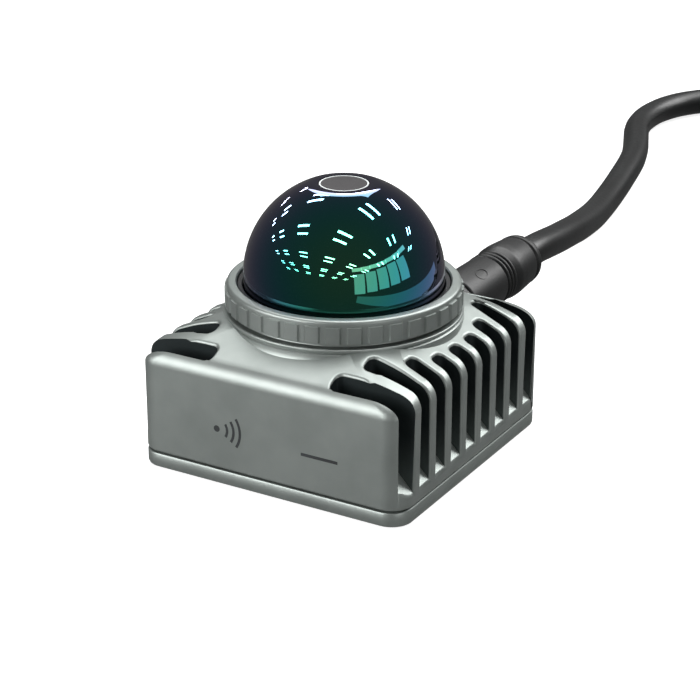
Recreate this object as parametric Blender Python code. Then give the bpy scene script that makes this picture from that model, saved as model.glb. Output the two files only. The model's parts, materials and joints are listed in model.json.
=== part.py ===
"""Lidar scanner module: a finned metal housing with a domed window, a spinning scan head inside it,
and a round screw-on plug whose cable runs to a splitter with a network lead and a power lead.

Frame: origin at the middle of the underside, +Z up, the plain front face towards -Y, the connector
towards +Y, the cooling fins towards +X and -X.
"""

import math

import bmesh
import bpy
from mathutils import Matrix, Vector

MM = 0.001

# ---------------------------------------------------------------- driving sizes
GAP = 0.3 * MM  # clearance between pieces that touch
FINE, MEDIUM, SMALL = 40, 28, 18  # sides of large, middling and small round pieces

# Case
CASE_SIDE = 65 * MM
CASE_CORNER = 4.9 * MM
PLATE_THICKNESS = 3.4 * MM
WALL_TOP = 23.8 * MM  # where the upright walls start to turn over
SHOULDER_RADIUS = 4.6 * MM
ROOF_PITCH = math.radians(24.2)
ROOF_CORNER = 8 * MM
ROOF_TOP = 32.3 * MM
FRONT_WALL = 1.4 * MM  # wall in front of the first slot
SLOT_COUNT = 9
SLOT_WIDTH = 4.3 * MM
SLOT_PITCH = 6.84 * MM
SLOT_END_RADIUS = 1.6 * MM
SLOT_TIP = 6.4 * MM  # height of a slot's lower end in the outer face
SLOT_FLOOR_PITCH = math.radians(46)
SLOT_WALL = 2.5 * MM  # least material left between the slots and the round inner wall
SLOT_DRIFT = 4.2 * MM  # how much thicker that wall grows towards the corners
SLOT_LEAST = 14.4 * MM  # closed end of the longest slots, from the middle of the case
CASE_SCREW_INSET = 5 * MM
CASE_SCREW_RADIUS = 1.0 * MM
CASE_SCREW_HEAD = 2.0 * MM
CASE_SCREW_HEAD_TOP = 1.5 * MM
CASE_SCREW_REACH = 5.6 * MM
SEAL_THICKNESS = 1.2 * MM
MOUNT_SPACING = 44 * MM  # square pattern of threaded holes in the underside
MOUNT_HOLE_RADIUS = 1.25 * MM  # M3 tapping size
MOUNT_HOLE_DEPTH = 5 * MM

# Dome, neck and retaining ring
DOME_RADIUS = 21.8 * MM
DOME_WALL = 1.6 * MM
DOME_CENTRE = 39.5 * MM
CROWN_CUT = 1.3 * MM  # how far the flat crown lies below the sphere's own top
CROWN_DISC_RADIUS = 5.4 * MM
CROWN_DISC_THICKNESS = 0.6 * MM
RING_WIDTH = 3.6 * MM  # how far the ring stands out beyond the dome
RING_BOTTOM = 33.1 * MM
RING_TOP = 38.5 * MM
RING_LIP = 1.9 * MM
RING_PADS = 36
RING_PAD_DEPTH = 0.45 * MM
COLLAR_MARGIN = 0.6 * MM
COLLAR_GROOVE = 0.7 * MM
NECK_WALL = 2.7 * MM
NECK_SEAL_THICKNESS = 1.1 * MM
FLANGE_THICKNESS = 2.0 * MM

# Inside of the case
LEDGE_WIDTH = 3 * MM  # the ledge that the motor is screwed up against
LEDGE_HEIGHT = 13.7 * MM
PAD_THICKNESS = 0.8 * MM
CHIP_SIDE = 14 * MM
CHIP_THICKNESS = 1.2 * MM
BOARD_MARGIN = 1.1 * MM  # between the board and the wall round it
BOARD_THICKNESS = 1.6 * MM
BOARD_POST_INSET = 3.4 * MM
CONNECTOR_INSET = 4.8 * MM
BOARD_POST_RADIUS = 2 * MM
BOARD_SCREW_RADIUS = 0.8 * MM

# Spindle motor
MOTOR_PLATE = 2.4 * MM
HARNESS_NOTCH = 3.9 * MM
SLEEVE_RADIUS = 7 * MM
SLEEVE_BORE = 5.8 * MM
SLEEVE_TOP = 23.2 * MM
MOTOR_SCREW_RADIUS = 0.7 * MM
MOTOR_SCREW_HEAD = 1.2 * MM
BEARING_OUTER = 9.7 * MM
BEARING_WIDTH = 2.5 * MM
HUB_WALL = 1.2 * MM
STATOR_GAP = 0.4 * MM  # air between the hub and the stator
STATOR_BUILD = 3.6 * MM
AIR_GAP = 0.5 * MM
STATOR_TEETH = 9
STATOR_HEIGHT = 5.5 * MM
MAGNET_WALL = 1.3 * MM
SKIRT_WALL = 1.1 * MM
ROTOR_DISC = 1.6 * MM
POWER_COIL_BOTTOM = 20 * MM
POWER_COIL_HEIGHT = 3 * MM
POWER_COIL_WALL = 0.9 * MM

# Scan head
FRAME_RADIUS = 17 * MM
FRAME_DISC = 1.8 * MM
CHEEK_INSIDE = 11.5 * MM
CHEEK_THICKNESS = 2.5 * MM
CHEEK_WIDTH = 8 * MM
CHEEK_TOP = 44 * MM
MIRROR_SIDE = 13 * MM
MIRROR_LENGTH = 18 * MM
AXLE_RADIUS = 0.9 * MM
AXLE_BEARING_OUTER = 2 * MM
DRIVE_RADIUS = 4.2 * MM
DRIVE_LENGTH = 3.9 * MM

# Rear socket, plug and cable
SOCKET_HEIGHT = 15.4 * MM  # height of the plug's axis
THREAD_RADIUS = 5.85 * MM  # M12
SOCKET_WALL = 1.15 * MM
SOCKET_FLANGE = 8.5 * MM
SOCKET_REACH = 10.5 * MM  # how far the thread stands out of the rear wall
NUT_RADIUS = 7.3 * MM
NUT_LENGTH = 14 * MM
PLUG_RADIUS = 6.7 * MM
PLUG_LENGTH = 37.8 * MM
CABLE_DIAMETER = 8 * MM
LEAD_DIAMETER = 5 * MM

CASE_HALF = CASE_SIDE / 2
CROWN_HEIGHT = DOME_CENTRE + DOME_RADIUS - CROWN_CUT
RING_RADIUS = DOME_RADIUS + RING_WIDTH
COLLAR_RADIUS = RING_RADIUS + COLLAR_MARGIN
HEAD_CAVITY_RADIUS = DOME_RADIUS - GAP
CAVITY_RADIUS = HEAD_CAVITY_RADIUS + LEDGE_WIDTH
BOARD_RADIUS = CAVITY_RADIUS - BOARD_MARGIN
BOARD_POST_CIRCLE = BOARD_RADIUS - BOARD_POST_INSET
CASE_BOTTOM = PLATE_THICKNESS + GAP
COLLAR_TOP = RING_BOTTOM - COLLAR_GROOVE
NECK_RADIUS = HEAD_CAVITY_RADIUS + NECK_WALL
NECK_TOP = RING_BOTTOM + 0.8 * MM
FLANGE_BOTTOM = NECK_TOP + GAP
FLANGE_TOP = FLANGE_BOTTOM + FLANGE_THICKNESS
FLANGE_RADIUS = NECK_RADIUS - 0.4 * MM
SEAL_RADIUS = CAVITY_RADIUS + 2 * MM
NECK_SEAL_RADIUS = HEAD_CAVITY_RADIUS + NECK_WALL / 2
LEDGE_CIRCLE = (CAVITY_RADIUS + HEAD_CAVITY_RADIUS) / 2
MOTOR_SCREW_TIP = LEDGE_HEIGHT + 3.5 * MM
HUB_BORE = BEARING_OUTER + GAP
STATOR_INNER = HUB_BORE + HUB_WALL + STATOR_GAP
STATOR_OUTER = STATOR_INNER + STATOR_BUILD
MAGNET_INNER = STATOR_OUTER + AIR_GAP
MAGNET_OUTER = MAGNET_INNER + MAGNET_WALL
SKIRT_INNER = MAGNET_OUTER + GAP
SKIRT_OUTER = SKIRT_INNER + SKIRT_WALL
ROTOR_BOTTOM = 16 * MM
ROTOR_TOP = SLEEVE_TOP + 0.4 * MM + ROTOR_DISC
FRAME_BOTTOM = ROTOR_TOP + GAP
MOTOR_TOP = LEDGE_HEIGHT - GAP
MOTOR_BOTTOM = MOTOR_TOP - MOTOR_PLATE
STATOR_BOTTOM = MOTOR_TOP + 3.1 * MM
BEAM_HOLE = SLEEVE_RADIUS + 0.4 * MM
SOCKET_BORE = THREAD_RADIUS - SOCKET_WALL
SOCKET_INNER_END = CAVITY_RADIUS + MM
CARRIER_RADIUS = SOCKET_BORE - GAP
PIN_CIRCLES = (0.705 * CARRIER_RADIUS, 0.273 * CARRIER_RADIUS)  # eight contacts round four
PIN_RADIUS = 0.091 * CARRIER_RADIUS
PIN_HOLE = 0.148 * CARRIER_RADIUS
CHIP_BOTTOM = PLATE_THICKNESS + GAP + PAD_THICKNESS + GAP
BOARD_BOTTOM = CHIP_BOTTOM + CHIP_THICKNESS + GAP
BOARD_TOP = BOARD_BOTTOM + BOARD_THICKNESS

# ---------------------------------------------------------------- cable route, in millimetres
# From the plug's end face, sagging to the table, then along it and round into the coil.
CABLE_ROUTE = [
    (0, 89, 15.4), (0, 96, 15.3), (-0.9, 109.7, 13.4), (-2.4, 121, 11.6), (-4.4, 132.4, 9.5),
    (-8.1, 150.5, 6.6), (-12.0, 166.9, 4.7), (-16.7, 188, 4), (-21.9, 210.2, 4), (-25.8, 222.4, 4),
    (-30.6, 234.2, 4), (-34.3, 243.5, 4), (-36.6, 254, 4), (-36.6, 266, 4), (-33.4, 277.4, 4),
    (-26.8, 286.8, 4), (-17.8, 293.7, 4), (-12, 297, 4), (-6.65, 300.2, 4),
]
COIL_CENTRE = (45.55, 271.7)
COIL_RADII = (35, 43, 51)  # of the turns' centre lines, one cable diameter apart
TAIL_ROUTE = [
    (88.75, 243.5, 12.4), (88.7, 236, 12.3), (88.5, 226, 11.2), (88.2, 214, 8.4), (87.7, 202, 5.6),
    (87.2, 190, 4.2), (86.8, 180, 4), (86.7, 170, 4),
]
SPLITTER_SIZE = (24 * MM, 30 * MM, 10 * MM)
DATA_ROUTE = [(92.7, 139.4, 4), (92.7, 130, 3.5), (93.1, 118, 2.6), (94.1, 101, 2.6), (94.7, 82, 2.6)]
POWER_ROUTE = [(80.7, 139.4, 4), (80.7, 130, 3.5), (80.3, 118, 2.6), (79.1, 101, 2.6), (78.7, 86, 2.6)]


# ---------------------------------------------------------------- helpers
def clear_scene():
    for old in list(bpy.data.objects):
        bpy.data.objects.remove(old)


def material(name, colour, roughness, metallic=0.0):
    made = bpy.data.materials.new(name)
    made.use_nodes = True
    shader = made.node_tree.nodes["Principled BSDF"]
    shader.inputs["Base Color"].default_value = (*colour, 1)
    shader.inputs["Roughness"].default_value = roughness
    shader.inputs["Metallic"].default_value = metallic
    made.diffuse_color = (*colour, 1)
    return made


def finish(name, bm, colour, place=(0, 0, 0), turn=(0, 0, 0)):
    """A named object from a bmesh, with its own material from a (colour, roughness, metallic) triple."""
    bmesh.ops.recalc_face_normals(bm, faces=bm.faces)
    mesh = bpy.data.meshes.new(name)
    bm.to_mesh(mesh)
    bm.free()
    mesh.shade_smooth()
    mesh.set_sharp_from_angle(angle=math.radians(35))
    mesh.materials.append(material(name, *colour))
    obj = bpy.data.objects.new(name, mesh)
    bpy.context.scene.collection.objects.link(obj)
    obj.location = place
    obj.rotation_euler = turn
    return obj


ALONG = {"X": (0, math.pi / 2, 0), "Y": (-math.pi / 2, 0, 0), "Z": (0, 0, 0)}


def add_turned(bm, profile, segments):
    """Spins a closed outline of (radius, height) points round Z."""
    verts = [bm.verts.new((r, 0, h)) for r, h in profile]
    edges = []
    for start, end in zip(verts, verts[1:] + verts[:1]):
        if start.co.x > 0 or end.co.x > 0:
            edges.append(bm.edges.new((start, end)))
    bmesh.ops.spin(bm, geom=verts + edges, cent=(0, 0, 0), axis=(0, 0, 1), angle=2 * math.pi,
                   steps=segments, use_merge=True)
    bmesh.ops.remove_doubles(bm, verts=bm.verts, dist=1e-7)


def turned(name, profile, colour, segments=MEDIUM, along="Z", place=(0, 0, 0)):
    bm = bmesh.new()
    add_turned(bm, profile, segments)
    return finish(name, bm, colour, place, ALONG[along])


def ring_profile(inner, outer, low, high, chamfer=0.0):
    if not chamfer:
        return [(inner, low), (outer, low), (outer, high), (inner, high)]
    return [
        (inner, low), (outer - chamfer, low), (outer, low + chamfer), (outer, high - chamfer),
        (outer - chamfer, high), (inner, high),
    ]


def add_box(bm, low, high):
    low, high = Vector(low), Vector(high)
    size = high - low
    matrix = Matrix.Translation((low + high) / 2) @ Matrix.Diagonal((*size, 1))
    return bmesh.ops.create_cube(bm, size=1, matrix=matrix)["verts"]


def box(name, low, high, colour, bevel=0.0):
    bm = bmesh.new()
    add_box(bm, low, high)
    if bevel:
        bmesh.ops.bevel(bm, geom=bm.edges, offset=bevel, segments=2, profile=0.5, affect="EDGES",
                        material=-1)
    return finish(name, bm, colour)


def add_cylinder(bm, radius, low, high, spot, segments=12):
    """An upright cylinder at spot (x, y)."""
    middle = Matrix.Translation((spot[0], spot[1], (low + high) / 2))
    bmesh.ops.create_cone(bm, cap_ends=True, segments=segments, radius1=radius, radius2=radius,
                          depth=high - low, matrix=middle)


def rounded_square(half, radius, steps):
    points = []
    for quarter in range(4):
        for step in range(steps + 1):
            angle = math.pi / 2 * (quarter + step / steps)
            corner = math.pi / 2 * (quarter + 0.5)
            reach = (half - radius) * math.sqrt(2)
            points.append((
                reach * math.cos(corner) + radius * math.cos(angle),
                reach * math.sin(corner) + radius * math.sin(angle),
            ))
    return points


def add_outline(bm, outline, low, high):
    """Extrudes a flat (x, y) outline from low to high."""
    face = bm.faces.new([bm.verts.new((x, y, low)) for x, y in outline])
    grown = bmesh.ops.extrude_face_region(bm, geom=[face])["geom"]
    upper = [part for part in grown if isinstance(part, bmesh.types.BMVert)]
    bmesh.ops.translate(bm, vec=(0, 0, high - low), verts=upper)


def combine(obj, other, operation):
    """Booleans other into obj, and hides other."""
    other.hide_render = True
    other.display_type = "WIRE"
    made = obj.modifiers.new(other.name, "BOOLEAN")
    made.operation = operation
    made.solver = "EXACT"
    made.object = other
    return obj


def cut(obj, bm, name, place=(0, 0, 0), turn=(0, 0, 0)):
    return combine(obj, finish(name, bm, PLAIN, place, turn), "DIFFERENCE")


def join(obj, bm, name, place=(0, 0, 0), turn=(0, 0, 0)):
    return combine(obj, finish(name, bm, PLAIN, place, turn), "UNION")


def square_spots(half):
    return [(x, y) for x in (-half, half) for y in (-half, half)]


def circle_spots(radius, count, start=math.pi / 2):
    step = 2 * math.pi / count
    return [(radius * math.cos(start + i * step), radius * math.sin(start + i * step)) for i in range(count)]


def smooth_route(points, spacing):
    """Points a steady distance apart on a Catmull-Rom curve through the route's points."""
    ends = [2 * points[0] - points[1], *points, 2 * points[-1] - points[-2]]
    fine = []
    for a, b, c, d in zip(ends, ends[1:], ends[2:], ends[3:]):
        for step in range(12):
            t = step / 12
            fine.append(0.5 * (2 * b + (c - a) * t + (2 * a - 5 * b + 4 * c - d) * t**2
                               + (3 * b - a - 3 * c + d) * t**3))
    fine.append(points[-1])
    length = sum((q - p).length for p, q in zip(fine, fine[1:]))
    count = max(2, round(length / spacing))
    picked, walked, target = [fine[0]], 0.0, length / count
    for p, q in zip(fine, fine[1:]):
        step = (q - p).length
        while walked + step >= target - 1e-9 and len(picked) < count:
            picked.append(p.lerp(q, (target - walked) / step))
            target += length / count
        walked += step
    return [*picked, fine[-1]]


def tube(name, route_mm, diameter, colour, spacing=2.2):
    points = smooth_route([Vector(p) * MM for p in route_mm], spacing * diameter)
    curve = bpy.data.curves.new(name, "CURVE")
    curve.dimensions = "3D"
    curve.bevel_depth = diameter / 2
    curve.bevel_resolution = 2
    curve.use_fill_caps = True
    spline = curve.splines.new("POLY")
    spline.points.add(len(points) - 1)
    for spot, point in zip(spline.points, points):
        spot.co = (point.x, point.y, max(point.z, diameter / 2), 1)  # the table stops it
    curve.materials.append(material(name, *colour))
    obj = bpy.data.objects.new(name, curve)
    bpy.context.scene.collection.objects.link(obj)
    return obj


# Linear colour, roughness and metallic of each finish
PLAIN = ((0.5, 0.5, 0.5), 0.5, 0.0)
BLASTED = ((0.36, 0.39, 0.38), 0.38, 1.0)
MACHINED = ((0.55, 0.56, 0.57), 0.3, 1.0)
STEEL = ((0.5, 0.5, 0.5), 0.28, 1.0)
COATED = ((0.01, 0.02, 0.02), 0.05, 0.0)
RUBBER = ((0.01, 0.01, 0.01), 0.7, 0.0)
PLASTIC = ((0.014, 0.016, 0.016), 0.45, 0.0)
BOARD = ((0.01, 0.09, 0.04), 0.5, 0.0)
CHIP = ((0.015, 0.015, 0.018), 0.5, 0.0)
COPPER = ((0.5, 0.2, 0.08), 0.35, 1.0)
MAGNET = ((0.15, 0.15, 0.16), 0.4, 1.0)
MIRROR = ((0.9, 0.9, 0.92), 0.03, 1.0)
GLASS = ((0.5, 0.6, 0.7), 0.05, 0.0)
PAD = ((0.35, 0.42, 0.5), 0.8, 0.0)
DISC = ((0.045, 0.04, 0.042), 0.45, 0.0)
BRASS = ((0.6, 0.45, 0.2), 0.3, 1.0)


# ---------------------------------------------------------------- case
def base_plate():
    bm = bmesh.new()
    outline = rounded_square(CASE_HALF, CASE_CORNER, 5)
    add_outline(bm, outline, 0, PLATE_THICKNESS)
    rims = [e for e in bm.edges if abs(e.verts[0].co.z - e.verts[1].co.z) < 1e-9]
    bmesh.ops.bevel(bm, geom=rims, offset=0.4 * MM, segments=1, profile=0.5, affect="EDGES", material=-1)
    plate = finish("base_plate", bm, BLASTED)
    posts = bmesh.new()
    for spot in circle_spots(BOARD_POST_CIRCLE, 4, math.pi / 4):
        add_cylinder(posts, BOARD_POST_RADIUS, PLATE_THICKNESS - 0.5 * MM, BOARD_BOTTOM - GAP, spot)
    join(plate, posts, "board_posts")
    holes = bmesh.new()
    for spot in square_spots(CASE_HALF - CASE_SCREW_INSET):
        add_cylinder(holes, CASE_SCREW_RADIUS + GAP, -MM, PLATE_THICKNESS + MM, spot)
    for spot in square_spots(MOUNT_SPACING / 2):
        add_cylinder(holes, MOUNT_HOLE_RADIUS, -MM, PLATE_THICKNESS + MM, spot)
    cut(plate, holes, "plate_holes")
    sinks = bmesh.new()
    for spot in square_spots(CASE_HALF - CASE_SCREW_INSET):
        add_cylinder(sinks, CASE_SCREW_HEAD + GAP, -MM, CASE_SCREW_HEAD_TOP + GAP, spot)
    cut(plate, sinks, "head_sinks")
    taps = bmesh.new()
    for spot in circle_spots(BOARD_POST_CIRCLE, 4, math.pi / 4):
        add_cylinder(taps, BOARD_SCREW_RADIUS + GAP, PLATE_THICKNESS - MM, BOARD_TOP, spot, 12)
    cut(plate, taps, "post_holes")
    groove = bmesh.new()
    half = SEAL_THICKNESS / 2 + GAP
    floor = PLATE_THICKNESS - SEAL_THICKNESS - GAP
    high = PLATE_THICKNESS + MM
    add_turned(groove, ring_profile(SEAL_RADIUS - half, SEAL_RADIUS + half, floor, high), MEDIUM)
    cut(plate, groove, "seal_groove")
    return plate


def screw(name, radius, head_radius, head_low, head_high, tip, spot, colour=STEEL):
    """A pan-head screw on an upright axis. Its tip may point up or down."""
    if tip > head_high:
        profile = [(0, head_low), (head_radius, head_low), (head_radius, head_high), (radius, head_high),
                   (radius, tip - 0.4 * MM), (radius - 0.4 * MM, tip), (0, tip)]
    else:
        profile = [(0, tip), (radius - 0.4 * MM, tip), (radius, tip + 0.4 * MM), (radius, head_low),
                   (head_radius, head_low), (head_radius, head_high), (0, head_high)]
    return turned(name, profile, colour, segments=12, place=(spot[0], spot[1], 0))


def case_screws():
    for number, spot in enumerate(square_spots(CASE_HALF - CASE_SCREW_INSET), 1):
        screw(f"case_screw_{number}", CASE_SCREW_RADIUS, CASE_SCREW_HEAD, 0.2 * MM, CASE_SCREW_HEAD_TOP,
              CASE_BOTTOM + CASE_SCREW_REACH, spot)


def housing_sections():
    """(inset from the side, height) of the case's outer shape, from the bottom up."""
    yield 0.35 * MM, CASE_BOTTOM
    yield 0, CASE_BOTTOM + 0.35 * MM
    turn = math.pi / 2 - ROOF_PITCH
    for step in range(6):
        angle = turn * step / 5
        yield SHOULDER_RADIUS * (1 - math.cos(angle)), WALL_TOP + SHOULDER_RADIUS * math.sin(angle)
    inset = SHOULDER_RADIUS * (1 - math.cos(turn))
    height = WALL_TOP + SHOULDER_RADIUS * math.sin(turn)
    for share in (0.5, 1):
        rise = (ROOF_TOP - height) * share
        yield inset + rise / math.tan(ROOF_PITCH), height + rise


def slot_rows():
    """(middle of the slot along Y, distance of its closed end from the middle of the case)."""
    first = -CASE_HALF + FRONT_WALL + SLOT_WIDTH / 2
    keep_out = CAVITY_RADIUS + SLOT_WALL
    for index in range(SLOT_COUNT):
        y = first + index * SLOT_PITCH
        edge = min(abs(y), keep_out)
        reach = math.sqrt(max(keep_out**2 - edge**2, 0)) + SLOT_DRIFT * abs(y) / CASE_HALF
        yield y, max(reach, SLOT_LEAST)


def add_slot(bm, y, closed_end, side):
    """A slot open to the side and the top, with a rounded closed end and a floor that falls outwards."""
    outer = CASE_HALF + 1.5 * MM
    half = SLOT_WIDTH / 2
    r = SLOT_END_RADIUS
    outline = [(outer, -half)]
    outline += [(outer, half)]
    for step in range(4):
        angle = math.pi / 2 * (1 + step / 3)
        outline.append((closed_end + r + r * math.cos(angle), half - r + r * math.sin(angle)))
    for step in range(4):
        angle = math.pi / 2 * (2 + step / 3)
        outline.append((closed_end + r + r * math.cos(angle), -half + r + r * math.sin(angle)))
    top = ROOF_TOP + 3 * MM
    low = [bm.verts.new((side * x, y + v, floor_height(x))) for x, v in outline]
    high = [bm.verts.new((side * x, y + v, top)) for x, v in outline]
    rims = []
    for loop in (low, high):
        rims += [bm.edges.new(pair) for pair in zip(loop, loop[1:] + loop[:1])]
    bmesh.ops.bridge_loops(bm, edges=rims)
    bm.faces.new(low)
    bm.faces.new(high)


def floor_height(x):
    return SLOT_TIP + (CASE_HALF - x) * math.tan(SLOT_FLOOR_PITCH)


def main_housing():
    bm = bmesh.new()
    loops = []
    for inset, height in housing_sections():
        corner = CASE_CORNER + (ROOF_CORNER - CASE_CORNER) * min(max(inset / (0.6 * SHOULDER_RADIUS), 0), 1)
        if height < WALL_TOP:
            corner = CASE_CORNER - inset
        outline = rounded_square(CASE_HALF - inset, corner, 6)
        loops.append([bm.verts.new((x, y, height)) for x, y in outline])
    rims = [[bm.edges.new(pair) for pair in zip(loop, loop[1:] + loop[:1])] for loop in loops]
    for low, high in zip(rims, rims[1:]):
        bmesh.ops.bridge_loops(bm, edges=low + high)
    bm.faces.new(loops[0])
    bm.faces.new(loops[-1])
    housing = finish("main_housing", bm, BLASTED)

    collar = bmesh.new()
    low = WALL_TOP - 4 * MM
    rim = 0.3 * MM
    add_turned(collar, [
        (0, low), (COLLAR_RADIUS, low), (COLLAR_RADIUS, COLLAR_TOP - rim), (COLLAR_RADIUS - rim, COLLAR_TOP),
        (NECK_RADIUS, COLLAR_TOP), (NECK_RADIUS, NECK_TOP), (0, NECK_TOP),
    ], FINE)
    join(housing, collar, "collar")

    cavity = bmesh.new()
    add_turned(cavity, [(0, 0), (CAVITY_RADIUS, 0), (CAVITY_RADIUS, LEDGE_HEIGHT),
                        (HEAD_CAVITY_RADIUS, LEDGE_HEIGHT), (HEAD_CAVITY_RADIUS, NECK_TOP + MM),
                        (0, NECK_TOP + MM)], MEDIUM)
    cut(housing, cavity, "cavity")

    slots = bmesh.new()
    for y, closed_end in slot_rows():
        for side in (-1, 1):
            add_slot(slots, y, closed_end, side)
    cut(housing, slots, "fin_slots")

    holes = bmesh.new()
    for spot in square_spots(CASE_HALF - CASE_SCREW_INSET):
        add_cylinder(holes, CASE_SCREW_RADIUS + GAP, 0, CASE_BOTTOM + CASE_SCREW_REACH + GAP, spot)
    for spot in square_spots(MOUNT_SPACING / 2):
        add_cylinder(holes, MOUNT_HOLE_RADIUS + GAP, 0, MOUNT_HOLE_DEPTH + GAP, spot)
    for spot in circle_spots(LEDGE_CIRCLE, 3, -math.pi / 2):
        add_cylinder(holes, MOTOR_SCREW_RADIUS + GAP, LEDGE_HEIGHT - MM, MOTOR_SCREW_TIP + GAP, spot, 12)
    cut(housing, holes, "housing_holes")

    passage = bmesh.new()
    add_cylinder(passage, THREAD_RADIUS + GAP, CAVITY_RADIUS - 4.5 * MM, CASE_HALF + MM, (0, 0), SMALL)
    cut(housing, passage, "socket_hole", (0, 0, SOCKET_HEIGHT), ALONG["Y"])

    seat = bmesh.new()
    half = NECK_SEAL_THICKNESS / 2 + GAP
    floor = NECK_TOP + GAP - NECK_SEAL_THICKNESS - GAP
    inner, outer = NECK_SEAL_RADIUS - half, NECK_SEAL_RADIUS + half
    add_turned(seat, ring_profile(inner, outer, floor, NECK_TOP + MM), MEDIUM)
    cut(housing, seat, "neck_seal_groove")
    return housing


def round_seal(name, radius, thickness, middle):
    return turned(name, circle_profile(radius, middle, thickness / 2, 6), RUBBER)


def circle_profile(radius, height, small, steps):
    return [(radius + x, height + z) for x, z in circle_spots(small, steps, 0)]


# ---------------------------------------------------------------- dome and retaining ring
def dome_window():
    """A hollow dome with a flat crown, standing on a flange that the ring clamps."""
    def arc(radius, low, high, steps):
        start = math.asin((low - DOME_CENTRE) / radius)
        end = math.asin((high - DOME_CENTRE) / radius)
        for step in range(steps + 1):
            angle = start + (end - start) * step / steps
            yield radius * math.cos(angle), DOME_CENTRE + radius * math.sin(angle)

    inner = DOME_RADIUS - DOME_WALL
    foot = FLANGE_TOP + 0.6 * MM
    ceiling = CROWN_HEIGHT - DOME_WALL
    outside = list(arc(DOME_RADIUS, foot, CROWN_HEIGHT - 0.15 * MM, 8))
    edge = outside[-1][0]
    pocket = CROWN_DISC_RADIUS + GAP
    depth = CROWN_HEIGHT - CROWN_DISC_THICKNESS - GAP
    inside = list(arc(inner, foot, min(ceiling, DOME_CENTRE + 0.93 * inner), 6))
    profile = [
        (outside[0][0], FLANGE_TOP), *outside, (edge - 0.25 * MM, CROWN_HEIGHT), (pocket, CROWN_HEIGHT),
        (pocket, depth), (0, depth), (0, inside[-1][1]), *reversed(inside), (inside[0][0], FLANGE_BOTTOM),
        (FLANGE_RADIUS, FLANGE_BOTTOM), (FLANGE_RADIUS, FLANGE_TOP),
    ]
    return turned("dome_window", profile, COATED, FINE)


def crown_disc():
    low = CROWN_HEIGHT - CROWN_DISC_THICKNESS
    high = CROWN_HEIGHT - 0.05 * MM
    return turned("crown_disc", ring_profile(0, CROWN_DISC_RADIUS, low, high), DISC)


def dome_seal():
    """The black seal between the dome's foot and the ring."""
    inner = DOME_RADIUS + GAP
    outer = RING_RADIUS - RING_LIP - 0.6 * MM
    high = RING_TOP - 0.6 * MM
    return turned("dome_seal", ring_profile(inner, outer, FLANGE_TOP + GAP, high, 0.2 * MM), RUBBER)


def dome_retaining_ring():
    lip_bottom = FLANGE_TOP + GAP
    lip_inner = RING_RADIUS - RING_LIP - GAP
    bore = NECK_RADIUS + GAP
    edge = 0.4 * MM
    profile = [
        (bore, RING_BOTTOM), (RING_RADIUS - edge, RING_BOTTOM), (RING_RADIUS, RING_BOTTOM + edge),
        (RING_RADIUS, RING_TOP - edge), (RING_RADIUS - edge, RING_TOP), (lip_inner, RING_TOP),
        (lip_inner, lip_bottom), (bore, lip_bottom),
    ]
    ring = turned("dome_retaining_ring", profile, BLASTED, 2 * RING_PADS)
    pads = bmesh.new()
    width = 2 * math.pi * RING_RADIUS / RING_PADS * 0.76
    floor = RING_RADIUS * math.cos(math.pi / 2 / RING_PADS) - RING_PAD_DEPTH
    low, high = RING_BOTTOM + 0.5 * MM, RING_TOP - 1.3 * MM
    for index in range(RING_PADS):
        verts = add_box(pads, (floor, -width / 2, low), (RING_RADIUS + MM, width / 2, high))
        turn = Matrix.Rotation(2 * math.pi * (index + 0.5) / RING_PADS, 4, "Z")
        bmesh.ops.transform(pads, matrix=turn, verts=verts)
    return cut(ring, pads, "ring_pads")


# ---------------------------------------------------------------- electronics
def circuit_board():
    bm = bmesh.new()
    add_cylinder(bm, BOARD_RADIUS, BOARD_BOTTOM, BOARD_TOP, (0, 0), MEDIUM)
    board = finish("main_board", bm, BOARD)
    holes = bmesh.new()
    for spot in circle_spots(BOARD_POST_CIRCLE, 4, math.pi / 4):
        add_cylinder(holes, BOARD_SCREW_RADIUS + GAP, BOARD_BOTTOM - MM, BOARD_TOP + MM, spot, 12)
    return cut(board, holes, "board_holes")


def chip(name, middle, size, low, colour=CHIP):
    half = (size[0] * MM / 2, size[1] * MM / 2)
    box(name, (middle[0] * MM - half[0], middle[1] * MM - half[1], low),
        (middle[0] * MM + half[0], middle[1] * MM + half[1], low + size[2] * MM), colour)


def electronics():
    side = CHIP_SIDE / MM
    circuit_board()
    chip("thermal_pad", (0, 0), (side, side, PAD_THICKNESS / MM), PLATE_THICKNESS + GAP, PAD)
    chip("processor_chip", (0, 0), (side, side, CHIP_THICKNESS / MM), CHIP_BOTTOM)
    spot = (0, (BOARD_RADIUS - CONNECTOR_INSET) / MM)
    chip("board_connector", spot, (10, 3.6, 2.2), BOARD_TOP + GAP, PLASTIC)
    for number, spot in enumerate(circle_spots(BOARD_POST_CIRCLE, 4, math.pi / 4), 1):
        screw(f"board_screw_{number}", BOARD_SCREW_RADIUS, 1.5 * MM, BOARD_TOP + GAP, BOARD_TOP + GAP + MM,
              PLATE_THICKNESS + 0.2 * MM, spot)
    start = SOCKET_INNER_END / MM
    route = [(0, start - 0.8, 16.2), (0, start - 2.1, 15.6), (0, start - 2.8, 13.8), (0, start - 3.1, 12.2),
             (0, start - 3.7, 10.8), (0, start - 4.5, 9.9)]
    tube("signal_harness", route, 1.2 * MM, RUBBER, 1.4)


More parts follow.
